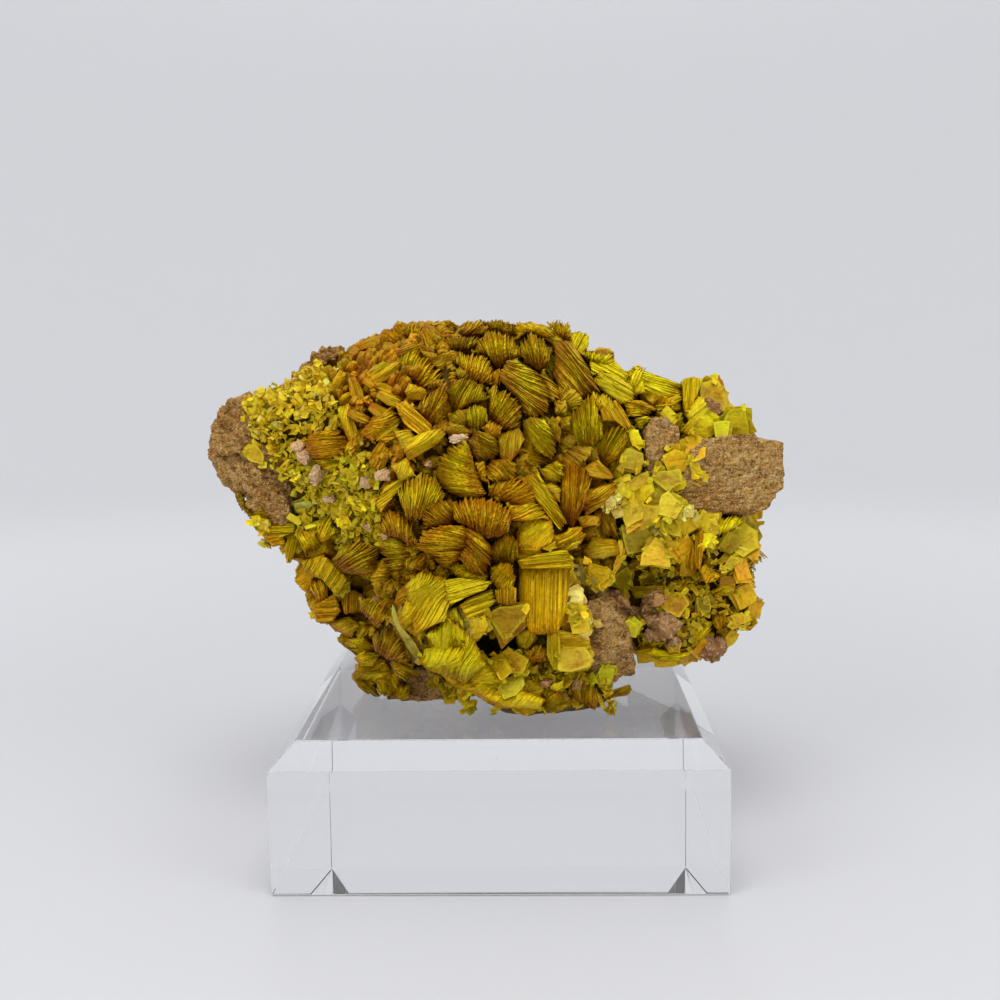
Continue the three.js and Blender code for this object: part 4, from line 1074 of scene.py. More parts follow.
# flat plates: how many lie on each other, their colour, their outline
tablets = [
    (3, "gold", [(701, 386), (716, 382), (720, 389), (727, 410), (720, 413), (701, 402)]),
    *drawnIn("right", [
        (3, "bright", [(610, 255), (660, 260), (690, 290), (690, 340), (650, 365), (612, 350)]),
        (2, "lime", [(690, 290), (765, 290), (750, 350), (700, 355)]),
        (3, "bright", [(760, 240), (830, 230), (840, 300), (850, 355), (790, 350), (735, 300)]),
        (1, "cream", [(725, 245), (760, 232), (762, 242), (728, 258)]),
        (3, "creamLime", [(310, 405), (375, 430), (375, 470), (340, 505), (280, 480), (290, 430)]),
        (2, "bright", [(310, 320), (350, 325), (380, 380), (330, 390)]),
        (3, "lemon", [(465, 440), (520, 410), (580, 450), (570, 510), (490, 500)]),
        (3, "lemon", [(550, 370), (620, 350), (655, 380), (650, 440), (600, 470), (560, 430)]),
        (2, "gold", [(480, 385), (540, 385), (540, 430), (490, 430)]),
        (2, "lemon", [(575, 440), (610, 430), (642, 542), (600, 520)]),
        (3, "creamLime", [(450, 510), (540, 500), (550, 560), (480, 590), (420, 540)]),
        (2, "gold", [(500, 570), (550, 540), (560, 590), (510, 600)]),
        (3, "creamLime", [(340, 530), (395, 510), (400, 560), (330, 600), (290, 570)]),
        (3, "lemon", [(350, 580), (410, 565), (420, 600), (370, 660), (330, 640)]),
        (3, "creamLime", [(460, 620), (490, 605), (560, 660), (520, 720), (445, 700)]),
        (2, "cream", [(555, 680), (600, 670), (605, 715), (560, 720)]),
        (2, "lemon", [(440, 745), (480, 725), (545, 750), (540, 800), (500, 795)]),
        (3, "creamLime", [(270, 650), (330, 630), (380, 660), (370, 720), (300, 760)]),
        (3, "creamLime", [(370, 660), (440, 670), (440, 730), (380, 770), (330, 730)]),
        (3, "creamLime", [(280, 760), (340, 750), (400, 780), (430, 800), (380, 870), (310, 880)]),
        (3, "creamLime", [(375, 885), (430, 810), (490, 850), (495, 940), (370, 932)]),
        (2, "gold", [(460, 760), (510, 820), (545, 900), (500, 930), (490, 850)]),
        (2, "cream", [(400, 740), (440, 750), (430, 790), (395, 780)]),
        (2, "creamLime", [(240, 560), (290, 540), (310, 600), (260, 640)]),
        (2, "lemon", [(225, 470), (270, 480), (285, 545), (240, 530)]),
        (2, "creamLime", [(290, 600), (330, 590), (340, 640), (280, 660)]),
        (2, "cream", [(200, 610), (250, 620), (250, 670), (210, 680)]),
        (2, "lemon", [(400, 620), (450, 610), (470, 640), (430, 670)]),
        (2, "creamLime", [(430, 470), (470, 480), (450, 540), (420, 530)]),
        (3, "lime", [(770, 790), (830, 750), (880, 790), (890, 860), (830, 900), (770, 860)]),
        (2, "cream", [(770, 840), (850, 870), (830, 905), (765, 865)]),
        (3, "creamLime", [(650, 740), (700, 720), (715, 790), (670, 810)]),
        (2, "cream", [(680, 840), (710, 820), (725, 850), (690, 875)]),
        (2, "bright", [(650, 800), (690, 800), (690, 860), (650, 850)]),
        (2, "olive", [(740, 950), (780, 895), (815, 920), (770, 960)]),
        (2, "lemon", [(830, 720), (880, 710), (895, 770), (850, 770)]),
        (2, "olive", [(240, 990), (300, 950), (320, 990), (300, 1060), (260, 1040)]),
        (3, "lemon", [(130, 930), (220, 960), (215, 1000), (170, 1040), (130, 990)]),
        (2, "lemon", [(160, 1030), (220, 1000), (240, 1010), (180, 1040)]),
        (2, "gold", [(250, 900), (262, 820), (285, 830), (275, 900), (235, 980)]),
        (2, "olive", [(355, 990), (420, 970), (450, 1010), (370, 1030)]),
        (3, "gold", [(480, 1060), (560, 1070), (580, 1120), (540, 1180), (460, 1130)]),
        (2, "lemon", [(470, 1070), (500, 1050), (560, 1070), (520, 1110)]),
        (2, "gold", [(460, 1115), (510, 1110), (510, 1160), (470, 1160)]),
        (2, "olive", [(620, 1090), (680, 1100), (680, 1150), (630, 1150)]),
        (2, "lime", [(750, 1130), (800, 1110), (820, 1150), (780, 1180)]),
        (2, "lemon", [(590, 1230), (640, 1200), (650, 1250), (600, 1300)]),
        (2, "lime", [(290, 1210), (310, 1190), (355, 1220), (340, 1270), (300, 1260)]),
        (2, "bright", [(560, 1310), (600, 1310), (610, 1340), (570, 1350)]),
        (2, "creamLime", [(500, 1290), (550, 1300), (540, 1340), (500, 1340)]),
        (2, "gold", [(780, 1180), (830, 1160), (850, 1200), (800, 1220)]),
    ]),
    *drawnIn("front", [
        (1, "paleLime", [(92, 690), (100, 640), (150, 770), (200, 830), (235, 900), (210, 935), (165, 860),
            (120, 770)]),
        (3, "paleLime", [(430, 650), (490, 720), (490, 830), (468, 840), (445, 760)]),
        (3, "lemon", [(940, 500), (1010, 470), (1030, 510), (990, 560), (950, 550)]),
        (3, "cream", [(985, 580), (1040, 560), (1070, 590), (1060, 640), (1000, 650)]),
        (2, "cream", [(1020, 480), (1060, 450), (1120, 500), (1150, 550), (1080, 540), (1030, 510)]),
        (3, "lemon", [(990, 700), (1060, 660), (1090, 720), (1080, 780), (1010, 790)]),
        (2, "cream", [(1060, 700), (1100, 710), (1095, 750), (1065, 745)]),
        (3, "lemon", [(1000, 640), (1050, 640), (1060, 700), (1010, 720)]),
        (3, "creamLime", [(930, 870), (1070, 865), (1110, 930), (1090, 960), (1000, 985), (940, 980)]),
        (2, "cream", [(1010, 790), (1085, 770), (1095, 830), (1040, 840)]),
        (2, "lemon", [(1080, 500), (1100, 440), (1200, 470), (1190, 510), (1120, 555)]),
        (2, "gold", [(940, 380), (1000, 400), (1005, 440), (960, 440)]),
        (2, "gold", [(580, 690), (640, 650), (760, 640), (780, 690), (720, 760), (660, 825)]),
        (2, "lemon", [(490, 720), (560, 690), (580, 740), (540, 800), (490, 825)]),
        (2, "lime", [(480, 900), (530, 880), (580, 940), (560, 980), (500, 960)]),
        (2, "lemon", [(580, 930), (640, 895), (690, 990), (650, 1030), (590, 980)]),
        (2, "gold", [(650, 890), (720, 885), (780, 930), (750, 1000), (690, 990)]),
        (3, "creamLime", [(630, 1070), (680, 1020), (750, 1010), (760, 1060), (720, 1110), (660, 1130)]),
        (2, "lemon", [(740, 1075), (790, 1060), (760, 1110), (720, 1110)]),
        (2, "lime", [(1140, 1000), (1160, 960), (1220, 980), (1200, 1060), (1150, 1060)]),
        (2, "lime", [(730, 1130), (800, 1120), (830, 1170), (760, 1220), (725, 1190)]),
        (2, "olive", [(1100, 1060), (1140, 1060), (1140, 1100), (1110, 1100)]),
        (2, "gold", [(440, 960), (480, 930), (500, 990), (450, 1010)]),
        (2, "lemon", [(510, 1000), (570, 990), (600, 1040), (540, 1060)]),
    ]),
    *drawnIn("left", [
        (2, "lemon", [(190, 470), (235, 440), (270, 480), (265, 525), (215, 510)]),
        (2, "paleLime", [(390, 690), (440, 670), (465, 690), (430, 730), (395, 720)]),
        (2, "bright", [(560, 770), (600, 740), (615, 780), (580, 790)]),
        (2, "bright", [(490, 640), (530, 620), (520, 670), (490, 680)]),
        (2, "lime", [(540, 1010), (600, 1000), (600, 1050), (545, 1060)]),
        (2, "gold", [(445, 1110), (480, 1100), (500, 1160), (470, 1170)]),
        (2, "lemon", [(215, 750), (260, 765), (270, 790), (240, 790)]),
        (2, "lime", [(610, 560), (650, 580), (640, 615), (605, 590)]),
    ]),
]
# how far the crystals reach in the view
crystalRim = onGrid([
    (253, 402), (262, 391), (282, 386), (305, 375), (332, 357), (362, 340), (405, 321), (470, 320),
    (545, 322), (575, 324), (600, 350), (635, 365), (685, 382), (715, 380), (727, 408), (745, 412),
    (750, 440), (784, 447), (784, 485), (760, 515), (759, 600), (757, 625), (720, 645), (700, 668),
    (655, 668), (640, 662), (620, 690), (608, 714), (530, 727), (480, 712), (450, 703), (375, 706),
    (346, 682), (348, 655), (318, 625), (303, 612), (302, 590), (300, 560), (284, 560), (250, 530),
    (248, 518), (292, 520), (296, 505), (285, 470), (262, 445), (253, 430),
])
bladeTones = ("gold orange", "orange rust", "lime orange")


def bladeOutline(x0, y0, x1, y1, width):
    start, end = np.array([x0, y0], float), np.array([x1, y1], float)
    side = np.array([y0 - y1, x1 - x0]) / np.hypot(x1 - x0, y1 - y0) * width / 2
    places, widths = (0, 0.45, 0.85, 1, 0.85, 0.45, 0), (0.6, 1, 0.75, 0, -0.75, -1, -0.6)
    return onGrid([start + (end - start) * share + side * wide for share, wide in zip(places, widths)])


ridges = [(*row[:3], onGrid(row[3])) for row in ridges]
for i, row in enumerate(blades):
    turn = math.degrees(math.atan2(row[1] - row[3], row[2] - row[0]))
    ridges.append(("blade", turn, bladeTones[i % len(bladeTones)], bladeOutline(*row)))
tablets = [(*row[:2], onGrid(row[2])) for row in tablets]
heroOutlines = [row[-1] for row in ridges + tablets]


def underHeroes(places, grow=1.12):
    covered = np.zeros(len(places), bool)
    for corners in heroOutlines:
        middle = corners.mean(0)
        covered |= within(places, middle + (corners - middle) * grow)
    return covered


def roomAt(points, normals):  # clear of the drawn crystals, or round the side from them
    seen = onSheet(points)
    aside = (points[:, 1] > fill["front"]) | ((normals * unit(layoutEye - points)).sum(1) < fill["aside"])
    return inRim(seen) & (~underHeroes(seen) | aside & inRim(onSheet(points + normals * 1.6)))


rimOffsets = np.array([(0.7, 0), (-0.7, 0), (0, 0.9), (0, -0.1)])


def inRim(places):  # and a little way off to each side as well
    return np.all([within(places + offset, crystalRim) for offset in rimOffsets], 0)


class Heroes:  # crystals drawn as outlines, gathered for one piece
    def __init__(self, name, faces):
        self.name = name
        self.faces = faces
        self.points, self.tints, self.deep, self.pale, self.grown = [], [], [], [], []

    def add(self, points, tints, deep, pale, grown):
        for store, value in zip((self.points, self.tints, self.deep, self.pale, self.grown),
                                (points, tints, deep, pale, grown)):
            store.append(value)

    def mesh(self):
        return joined(self.name, np.array(self.points), self.faces, np.clip(np.array(self.tints), 0, 1),
                      np.array(self.deep), np.array(self.pale), np.array(self.grown))


def standing(places, height, middle, away, slope):  # places on the sheet at heights over the seen plane
    distance = away + (places - middle) @ slope - height
    return layoutEye + wayTo(places) * distance[:, None]


def chords(corners, source, ways):  # where lines out of the source enter and leave an outline
    edges = np.roll(corners, -1, 0) - corners
    offset = corners - source
    facing = ways[:, :1] * edges[:, 1] - ways[:, 1:] * edges[:, 0]
    facing = np.where(np.abs(facing) < 1e-9, 1e-9, facing)
    far = (offset[:, 0] * edges[:, 1] - offset[:, 1] * edges[:, 0]) / facing
    share = (offset[:, 0] * ways[:, 1:] - offset[:, 1] * ways[:, :1]) / facing
    good = (share >= -1e-6) & (share <= 1 + 1e-6)
    return np.where(good, far, np.inf).min(1), np.where(good, far, -np.inf).max(1)


# wide and large: the widths above which a crystal has that stack
ridgeForm = {"grow": 1.1, "embed": 4.5, "lower": 0.4, "light": (1.12, 1.14, 0.8), "wide": 9, "large": 4.8}


def growRidges(beds, kind, turn, tones, corners):
    form = dict(zip(ridgeWords, ridgeKinds[kind]))
    corners = corners.mean(0) + (corners - corners.mean(0)) * ridgeForm["grow"]
    middle, along = corners.mean(0), np.array([math.cos(math.radians(turn)), math.sin(math.radians(turn))])
    aside = np.array([-along[1], along[0]])
    lengths, widths = (corners - middle) @ along, (corners - middle) @ aside
    length, width = np.ptp(lengths), np.ptp(widths)
    name = "wide" if width > ridgeForm["wide"] else "large" if width > ridgeForm["large"] else "hand"
    stack = stacks[name]
    count, points = stack["plates"], stack["points"]
    plate, low, section, point = stack["plate"], stack["low"], stack["section"], stack["point"]
    source = middle + along * (lengths.min() - form["meet"] * length)
    rays = corners - source
    bearings = np.arctan2(rays @ aside, rays @ along)
    thick = dice.uniform(0.5, 1.5, count)
    start = np.cumsum(thick) - thick
    share = (np.repeat(start, 2) + np.tile([0, 0.9], count) * np.repeat(thick, 2)) / thick.sum()
    share = 0.015 + 0.97 * share
    bearing = bearings.min() + share * np.ptp(bearings)
    near, far = chords(corners, source, np.cos(bearing)[:, None] * along + np.sin(bearing)[:, None] * aside)
    ragged = form["ragged"] * min(1, length / 4)
    near = near + ragged * 0.5 * np.repeat(dice.random(count), 2)
    far = far - ragged * np.repeat(dice.random(count), 2) - form["groove"] * np.tile([0, 1], count)
    far = np.maximum(far, near + 0.2)
    around = np.clip((point - 1) / (points - 3), 0, 1) * math.pi
    cosine, sine = -np.cos(around), np.sin(around)
    a = np.sign(cosine) * np.abs(cosine) ** (2 / form["square"])
    h = np.maximum(sine, 0) ** (2 / form["square"])
    skirt = (point == 0) | (point == points - 1)
    u = 2 * share[section] - 1
    swing, phase = dice.uniform(1.2, 3.0, 2), dice.uniform(0, 6, 2)
    dent = form["dent"] * np.sin(swing[0] * 1.6 * u + phase[0]) * np.cos(swing[1] * a + phase[1])
    size = math.sqrt(length * width)
    rise = form["bulge"] * size * (1 - np.abs(u) ** form["round"]) ** 0.6
    rise = rise + form["wander"] * dice.normal(0, 1, count)[plate]
    rise = rise - form["groove"] * low * dice.uniform(0.6, 1.4, count)[plate] + dent * size * 0.4
    rise = rise + 0.3 * form["groove"] * dice.normal(0, 1, len(rise))
    height = np.where(skirt, -ridgeForm["embed"], rise * h)
    reach = near[section] + (far - near)[section] * ((a + 1) / 2) ** 0.85
    reach = reach + 0.25 * form["groove"] * dice.normal(0, 1, len(reach)) * ~skirt
    bend = bearing[section] + form["bend"] * np.sin(2.2 * a + 3 * u + phase[0]) * h / reach
    sheet = source + reach[:, None] * (np.cos(bend)[:, None] * along + np.sin(bend)[:, None] * aside)
    away, slope = seenPlane(corners, (crustTree, rockTree))
    body = standing(sheet, height - ridgeForm["lower"] * form["bulge"] * size, middle, away, slope)
    upper, lower = (heroTones[tone] for tone in tones.split())
    # painted light: the colour runs from the lower to the upper tone towards the top and the far end of the
    # ridges, partly the crystals' own tones and partly a painted highlight on the upper parts and painted
    # shade on the lower ones
    level = (sheet[:, 1] - corners[:, 1].min()) / np.ptp(corners[:, 1]) * 0.7 + (a + 1) / 2 * 0.4
    level = level + 0.22 * dice.normal(0, 1, count)[plate] + 0.15 * dice.normal(0, 1, len(level))
    level = np.clip(level, 0, 1)[:, None]
    tints = (lower + (upper - lower) * level) * np.exp(dice.normal(0, 0.07, count))[plate][:, None]
    tints = tints * ridgeForm["light"]
    # deep paints shade in the finish: the flanks under the crests and the low grooves between the plates are
    # painted darker
    deep = (1 - h) * size * 0.5 + 0.7 * low * min(1, form["groove"] / 0.2) - 0.1
    grown = np.stack([reach * 0.7, height, u * width / 2], -1)
    beds[name].add(body, varied(tints, 0.05), deep, form["pale"], grown)


# a flat plate: a rim of twelve corners, a smaller one inside it and one behind
rimPoints = 12


def tabletFaces():
    ring = np.arange(rimPoints)
    following = (ring + 1) % rimPoints
    halves = np.arange(rimPoints // 2 - 1)
    cap = np.stack([halves, halves + 1, rimPoints - 2 - halves, rimPoints - 1 - halves], -1)
    inner = np.stack([ring, following, following + rimPoints, ring + rimPoints], -1)
    side = np.stack([following, ring, ring + 2 * rimPoints, following + 2 * rimPoints], -1)
    return np.vstack([inner, cap + rimPoints, side, cap[:, ::-1] + 2 * rimPoints])


def evenRim(corners):  # the corners with points between them, twelve in all
    count = len(corners)
    edges = np.roll(corners, -1, 0) - corners
    steps = np.full(count, rimPoints // count)
    steps[np.argsort(-np.linalg.norm(edges, axis=1))[:rimPoints - steps.sum()]] += 1
    rows = [corner + edge * (np.arange(n) / n)[:, None] for corner, edge, n in zip(corners, edges, steps)]
    return np.vstack(rows)


heroTabletForm = {"pitch": 0.32, "thick": 0.18, "tilt": 0.2, "embed": 2.5, "ragged": 0.13, "lift": 0.6,
                  "under": 4, "grow": 1.06, "shift": 0.17, "crumbs": 0.55, "pileSpread": 0.14,
                  "plateSpread": 0.13, "light": 0.94}


def growTablets(bed, crumbs, layers, tone, corners):
    form = heroTabletForm
    if np.sum(corners[:, 0] * np.roll(corners[:, 1], -1) - corners[:, 1] * np.roll(corners[:, 0], -1)) < 0:
        corners = corners[::-1]
    middle = corners.mean(0)
    away, slope = seenPlane(corners, (crustTree, rockTree))
    tilt = dice.normal(0, form["tilt"], 2)
    colour = varied(heroTones[tone], form["pileSpread"])
    shadeWay = unit(np.array([dice.normal(0, 0.5), -1]))
    for i in range(layers + form["under"]):
        turn = dice.normal(0, 0.06) * i
        turned = np.array([[math.cos(turn), -math.sin(turn)], [math.sin(turn), math.cos(turn)]])
        shape = middle + (corners - middle) @ turned * (form["grow"] - 0.04 * i * dice.random())
        shape = shape + dice.normal(0, form["shift"], 2) * i
        rim = evenRim(shape) + dice.uniform(-1, 1, (rimPoints, 2)) * form["ragged"]
        sheet = np.vstack([rim, middle + (rim - middle) * dice.uniform(0.5, 0.75), rim])
        height = form["lift"] - form["pitch"] * i + (sheet - middle) @ (tilt + dice.normal(0, 0.03, 2) * i)
        last = i == layers + form["under"] - 1
        height[rimPoints:2 * rimPoints] += dice.normal(0, 0.05)
        height[2 * rimPoints:] -= form["embed"] if last else form["thick"]
        body = standing(sheet, height, middle, away, slope)
        # painted shade: the edges and backs of the plates, their lower sides and the plates further down each
        # pile are painted darker
        side = np.where(np.arange(len(sheet)) < 2 * rimPoints, 1.0, 0.75)[:, None]
        low = (sheet - middle) @ shadeWay / math.sqrt(np.ptp(corners[:, 0]) * np.ptp(corners[:, 1]))
        side = side * (1 - np.clip(low + 0.1, 0, 0.6)[:, None] * np.array([0.25, 0.45, 0.6]))
        deep = np.where(np.arange(len(sheet)) < rimPoints, 0.0, 0.45) + 0.12 * i
        grown = np.column_stack([(sheet - middle) * 0.3, height * 0.2])
        bed.add(body, varied(colour, form["plateSpread"]) * side * form["light"], deep, 1.0, grown)
    growCrumbs(crumbs, colour, corners, middle, away, slope)


def growCrumbs(bed, colour, corners, middle, away, slope):  # small flakes lodged along the edge of a plate
    rim = evenRim(corners)
    for place in rim[dice.random(len(rim)) < heroTabletForm["crumbs"]]:
        place = place + dice.normal(0, 0.35, 2)
        at = standing(place[None], dice.uniform(-0.6, 0.9, 1), middle, away, slope)[0]
        addLeaf(bed, at, dice.normal(0, 0.55, 3) + towardEye, colour, *dice.uniform(0.6, 1.9, 2), 0.6)


clumps = {name: Clump(name, stack) for name, stack in {
    "crown_fans": "large", "dome_fans": "large", "side_fans": "large", "left_books": "large",
    "right_books": "large", "small_fans": "middle", "small_books": "middle", "sheaf": "small",
    "tiny_stacks": "small"}.items()}
plates = {name: Bed(name, slab) for name, slab in {
    "left_druse": "tiny", "right_flakes": "small", "right_tablets": "fine", "foot_tablets": "fine",
    "crumbs": "small"}.items()}
heroes = {name: Heroes(name + "_ridges", stacks[name]["faces"]) for name in ("wide", "large", "hand")}
heroes["tablets"] = Heroes("hero_tablets", tabletFaces())
for row in ridges:
    growRidges(heroes, *row)
for row in tablets:
    growTablets(heroes["tablets"], plates["crumbs"], *row)
report(f"{len(ridges)} ridged crystals and {len(tablets)} plates drawn")

# crystals spread evenly over the rest of the druse, as in the frame
fill = {
    "directions": 460, "spacing": 6.6, "seed": 1701, "front": 4, "aside": 0.3,
    "tablet": (4.1, 3.8, 2), "book": (4.6, 4.2, 2.7), "fan": (5.6, 5.4, 2.8),  # width, height, reach
}


def kindAt(p):
    if p[2] < 36 and p[0] > -12:
        return "tablet"
    if p[0] < -24 and p[2] < 60:
        return "book"
    if p[0] < -27:
        return "tablet"
    if p[0] > 16 and p[2] > 77:
        return "book"
    return "tablet" if p[0] > 19 else "fan"


def habitAt(p):  # how the crystals at a point of the druse look, for its kind in the frame
    x, z = onSheet(p)
    if x < -28 and z > 56 or x < -20 and 56 < z < 72:
        return "flakes"
    if -28 < x < -13 and z > 71:
        return "sheaf"
    if z < 35 and x > -11:
        return "scales"
    return kindAt(p)


def evenDraws(seed):  # the frame's own row of random numbers
    whole = 0xFFFFFFFF
    state = seed
    while True:
        state = (state + 0x6D2B79F5) & whole
        t = ((state ^ (state >> 15)) * (state | 1)) & whole
        t ^= (t + ((t ^ (t >> 7)) * (t | 61))) & whole
        yield (t ^ (t >> 14)) / 4294967296


def bedFor(at, habit, width):
    x, z = onSheet(at)
    if habit == "sheaf":
        return clumps["sheaf"]
    if habit in ("flakes", "scales"):
        return plates["left_druse" if habit == "flakes" else "right_flakes"]
    if habit == "tablet":
        return plates["right_tablets" if x > 14 and z > 34 or x > 20 else "foot_tablets"]
    if width < fanForm["large"]:
        return clumps["small_fans" if habit == "fan" else "small_books"]
    if habit == "fan":
        return clumps["side_fans" if abs(x - 1) > 13 else "crown_fans" if z > 70 else "dome_fans"]
    return clumps["left_books" if x < 0 else "right_books"]


def growFill():
    draws = evenDraws(fill["seed"])
    points = inward(evenWays(fill["directions"]))
    normals, tints = outward(points), toneAt(points)
    free = roomAt(points, normals)
    grown = []
    for p, normal, tint, room in zip(points, normals, tints, free):
        size = 0.8 + 0.45 * next(draws)
        turn, lean, toward = 180 * next(draws), 8 + 22 * next(draws), 360 * next(draws)
        if p[1] > druseForm["backLimit"] or p[2] < seatZ + 2 or insideRock(p) or inNook(*onSheet(p)):
            continue
        if not room or any(np.linalg.norm(at - p) < fill["spacing"] for at in grown):
            continue
        kind = kindAt(p)
        width, height, reach = fill[kind]
        axes = crystalAxes(normal, turn, lean, toward)
        habit = habitAt(p)
        growers[habit](bedFor(p, habit, width * size), p, axes, width * size, height * size, reach, tint)
        grown.append(p)
    return grown


# dark places between the crystals, kept bare so that the body painted dark as shade shows there: x and z on
# the layout sheet and half their size
nooks = np.array([
    (-0.9, 37.4, 5.4, 2.4), (23.0, 47.6, 3.4, 5.0), (38.5, 53.4, 2.2, 1.5), (-19.6, 80.0, 2.0, 1.2),
    (17.8, 58.5, 1.4, 1.6), (3.2, 47.0, 0.8, 6.0),
])


def inNook(x, z):
    return (((np.array([x, z]) - nooks[:, :2]) / nooks[:, 2:]) ** 2).sum(1).min() < 1


def onBareRock(x, z):  # where crystals also stand on the rock itself
    return -26 < x < -4 and z > 84 or -43 < x < -28 and 74 < z < 86


# middle-sized crystals where those leave room
middleForm = {"directions": 3600, "fromLarge": 3.0, "spacing": 2.3, "width": (2.6, 4.4), "reach": (1.6, 2.8),
              "overSeat": 1.5}


def mayGrow(p, rocky, x, z, overSeat):  # not at the back, on the seat, on bare rock or in a dark place
    if p[1] > druseForm["backLimit"] or p[2] < seatZ + overSeat:
        return False
    return not (rocky and not onBareRock(x, z) or inNook(x, z))


def growMiddle():
    points, normals, bare = outerSkin(evenWays(middleForm["directions"]))
    tints, seen = toneAt(points), onSheet(points)
    free = roomAt(points, normals)
    taken = [(at, middleForm["fromLarge"]) for at in fillPoints]
    grown = 0
    for p, normal, rocky, tint, (x, z), room in zip(points, normals, bare, tints, seen, free):
        if not room or not mayGrow(p, rocky, x, z, middleForm["overSeat"]):
            continue
        if any(np.linalg.norm(at - p) < spacing for at, spacing in taken):
            continue
        axes = crystalAxes(normal, dice.uniform(0, 180), dice.uniform(5, 35), dice.uniform(0, 360))
        width, reach = dice.uniform(*middleForm["width"]), dice.uniform(*middleForm["reach"])
        habit = habitAt(p)
        growers[habit](bedFor(p, habit, 0), p, axes, width, width * dice.uniform(0.7, 1.0), reach, tint)
        taken.append((p, middleForm["spacing"]))
        grown += 1
    return grown


fillPoints = growFill()
middleCount = growMiddle()
report(f"{len(fillPoints)} large and {middleCount} middle-sized crystals between them")

# small crystals in the gaps: flakes where the larger ones are flat, stacks elsewhere
smallForm = {"directions": 5200, "step": 1.3, "width": (1.2, 2.4), "height": (0.9, 1.8), "reach": (0.6, 1.6),
             "grow": 0.97, "flakes": 3, "flakeLength": {"left_druse": 2.9, "right_flakes": 2.8},
             "chance": 0.75, "embed": 1.2, "overSeat": 1}


def smallSeeds():  # evenly over what is seen from the front, and evenly over the rest
    step = smallForm["step"]
    x, z = np.meshgrid(np.arange(boxLow[0], boxHigh[0], step), np.arange(seatZ + 1, boxHigh[2], step))
    places = np.column_stack([x.ravel(), z.ravel()])
    places = places + dice.uniform(-0.5, 0.5, places.shape) * step
    points, normals, met = seenSkin(places[inRim(places) & ~underHeroes(places, smallForm["grow"])])
    bare = np.array([rockTree.find_nearest(Vector(p))[3] < 0.05 for p in points])
    rest, restNormals, restBare = outerSkin(evenWays(smallForm["directions"]))
    behind = (((rest[:, 1] > fill["front"]) | ((restNormals * unit(layoutEye - rest)).sum(1) < fill["aside"]))
              & inRim(onSheet(rest + restNormals * 1.2)))
    return (np.vstack([points[met], rest[behind]]), np.vstack([normals[met], restNormals[behind]]),
            np.append(bare[met], restBare[behind]))


def growSmall():
    points, normals, bare = smallSeeds()
    tints, seen = toneAt(points), onSheet(points)
    for p, normal, rocky, tint, (x, z) in zip(points, normals, bare, tints, seen):
        if not mayGrow(p, rocky, x, z, smallForm["overSeat"]):
            continue
        habit = habitAt(p)
        if habit in ("tablet", "scales", "flakes"):
            name = "left_druse" if habit == "flakes" else "right_flakes"
            long = smallForm["flakeLength"][name]
            for _ in range(smallForm["flakes"]):
                at = p + normal * dice.uniform(-0.3, 0.9) + dice.normal(0, 0.4, 3)
                facing = normal * 0.3 + towardEye * 0.3 + dice.normal(0, 0.7, 3)
                wide = dice.uniform(0.5, 0.45 * long)
                addLeaf(plates[name], at, facing, tint, wide, dice.uniform(0.9, long), 0.8)
        elif dice.uniform() < smallForm["chance"]:
            axes = crystalAxes(normal, dice.uniform(0, 180), dice.uniform(5, 45), dice.uniform(0, 360))
            clumps["tiny_stacks"].add(
                p - normal * smallForm["embed"], axes, varied(tint, 0.2),
                width=dice.uniform(*smallForm["width"]), slide=dice.uniform(*smallForm["height"]),
                length=smallForm["embed"] + dice.uniform(*smallForm["reach"]), square=dice.uniform(1.4, 6),
                half=dice.uniform(0, 0.3), narrow=0.3, jag=0.14, groove=0.16, pale=0.4)


growSmall()


# rock grains caught among the crystals: steps of the grid right and down, width and height in steps, how far
# each may stand off in millimetres, its colour
grainTones = {"pink": linear(232, 190, 142), "pale": linear(236, 206, 168), "brown": linear(176, 130, 80)}
grains = [
    (299, 443, 12, 13, 2.2, "pink"), (304, 455, 15, 18, 2.2, "pink"), (316, 474, 16, 20, 2.4, "pink"),
    (366, 480, 11, 15, 4, "pink"), (383, 476, 16, 14, 4.2, "pink"), (328, 497, 13, 11, 2.5, "pink"),
    (369, 525, 16, 10, 3.6, "pink"), (385, 536, 14, 12, 4, "pink"), (372, 601, 11, 12, 3, "pink"),
    (459, 439, 19, 12, 5.2, "pale"), (430, 464, 8, 11, 4.6, "pink"), (352, 412, 9, 9, 3.2, "pink"),
    (345, 470, 9, 8, 3, "pink"), (657, 605, 15, 14, 3.0, "brown"), (661, 631, 34, 30, 2.0, "brown"),
    (714, 655, 28, 28.6, 1.5, "brown"), (708, 411, 27, 17, 2.5, "brown"), (662, 381, 15, 8, 3.0, "brown"),
    (622, 607, 16, 14, 2.0, "brown"), (634, 616, 14, 12, 2.0, "brown"), (615, 596, 10, 9, 2.0, "brown"),
    (672, 648, 16, 12, 2.5, "brown"), (690, 655, 12, 10, 2.0, "brown"), (560, 705, 12, 9, 1.5, "brown"),
    (575, 690, 15, 12, 1.5, "brown"), (590, 700, 11, 9, 1.5, "brown"), (545, 690, 12, 10, 1.5, "brown"),
    (452, 684, 16, 11, 2.0, "brown"),
]
grainForm = {"cuts": 4, "facets": 9, "flat": (0.4, 0.8), "rough": 0.11, "broken": 6}


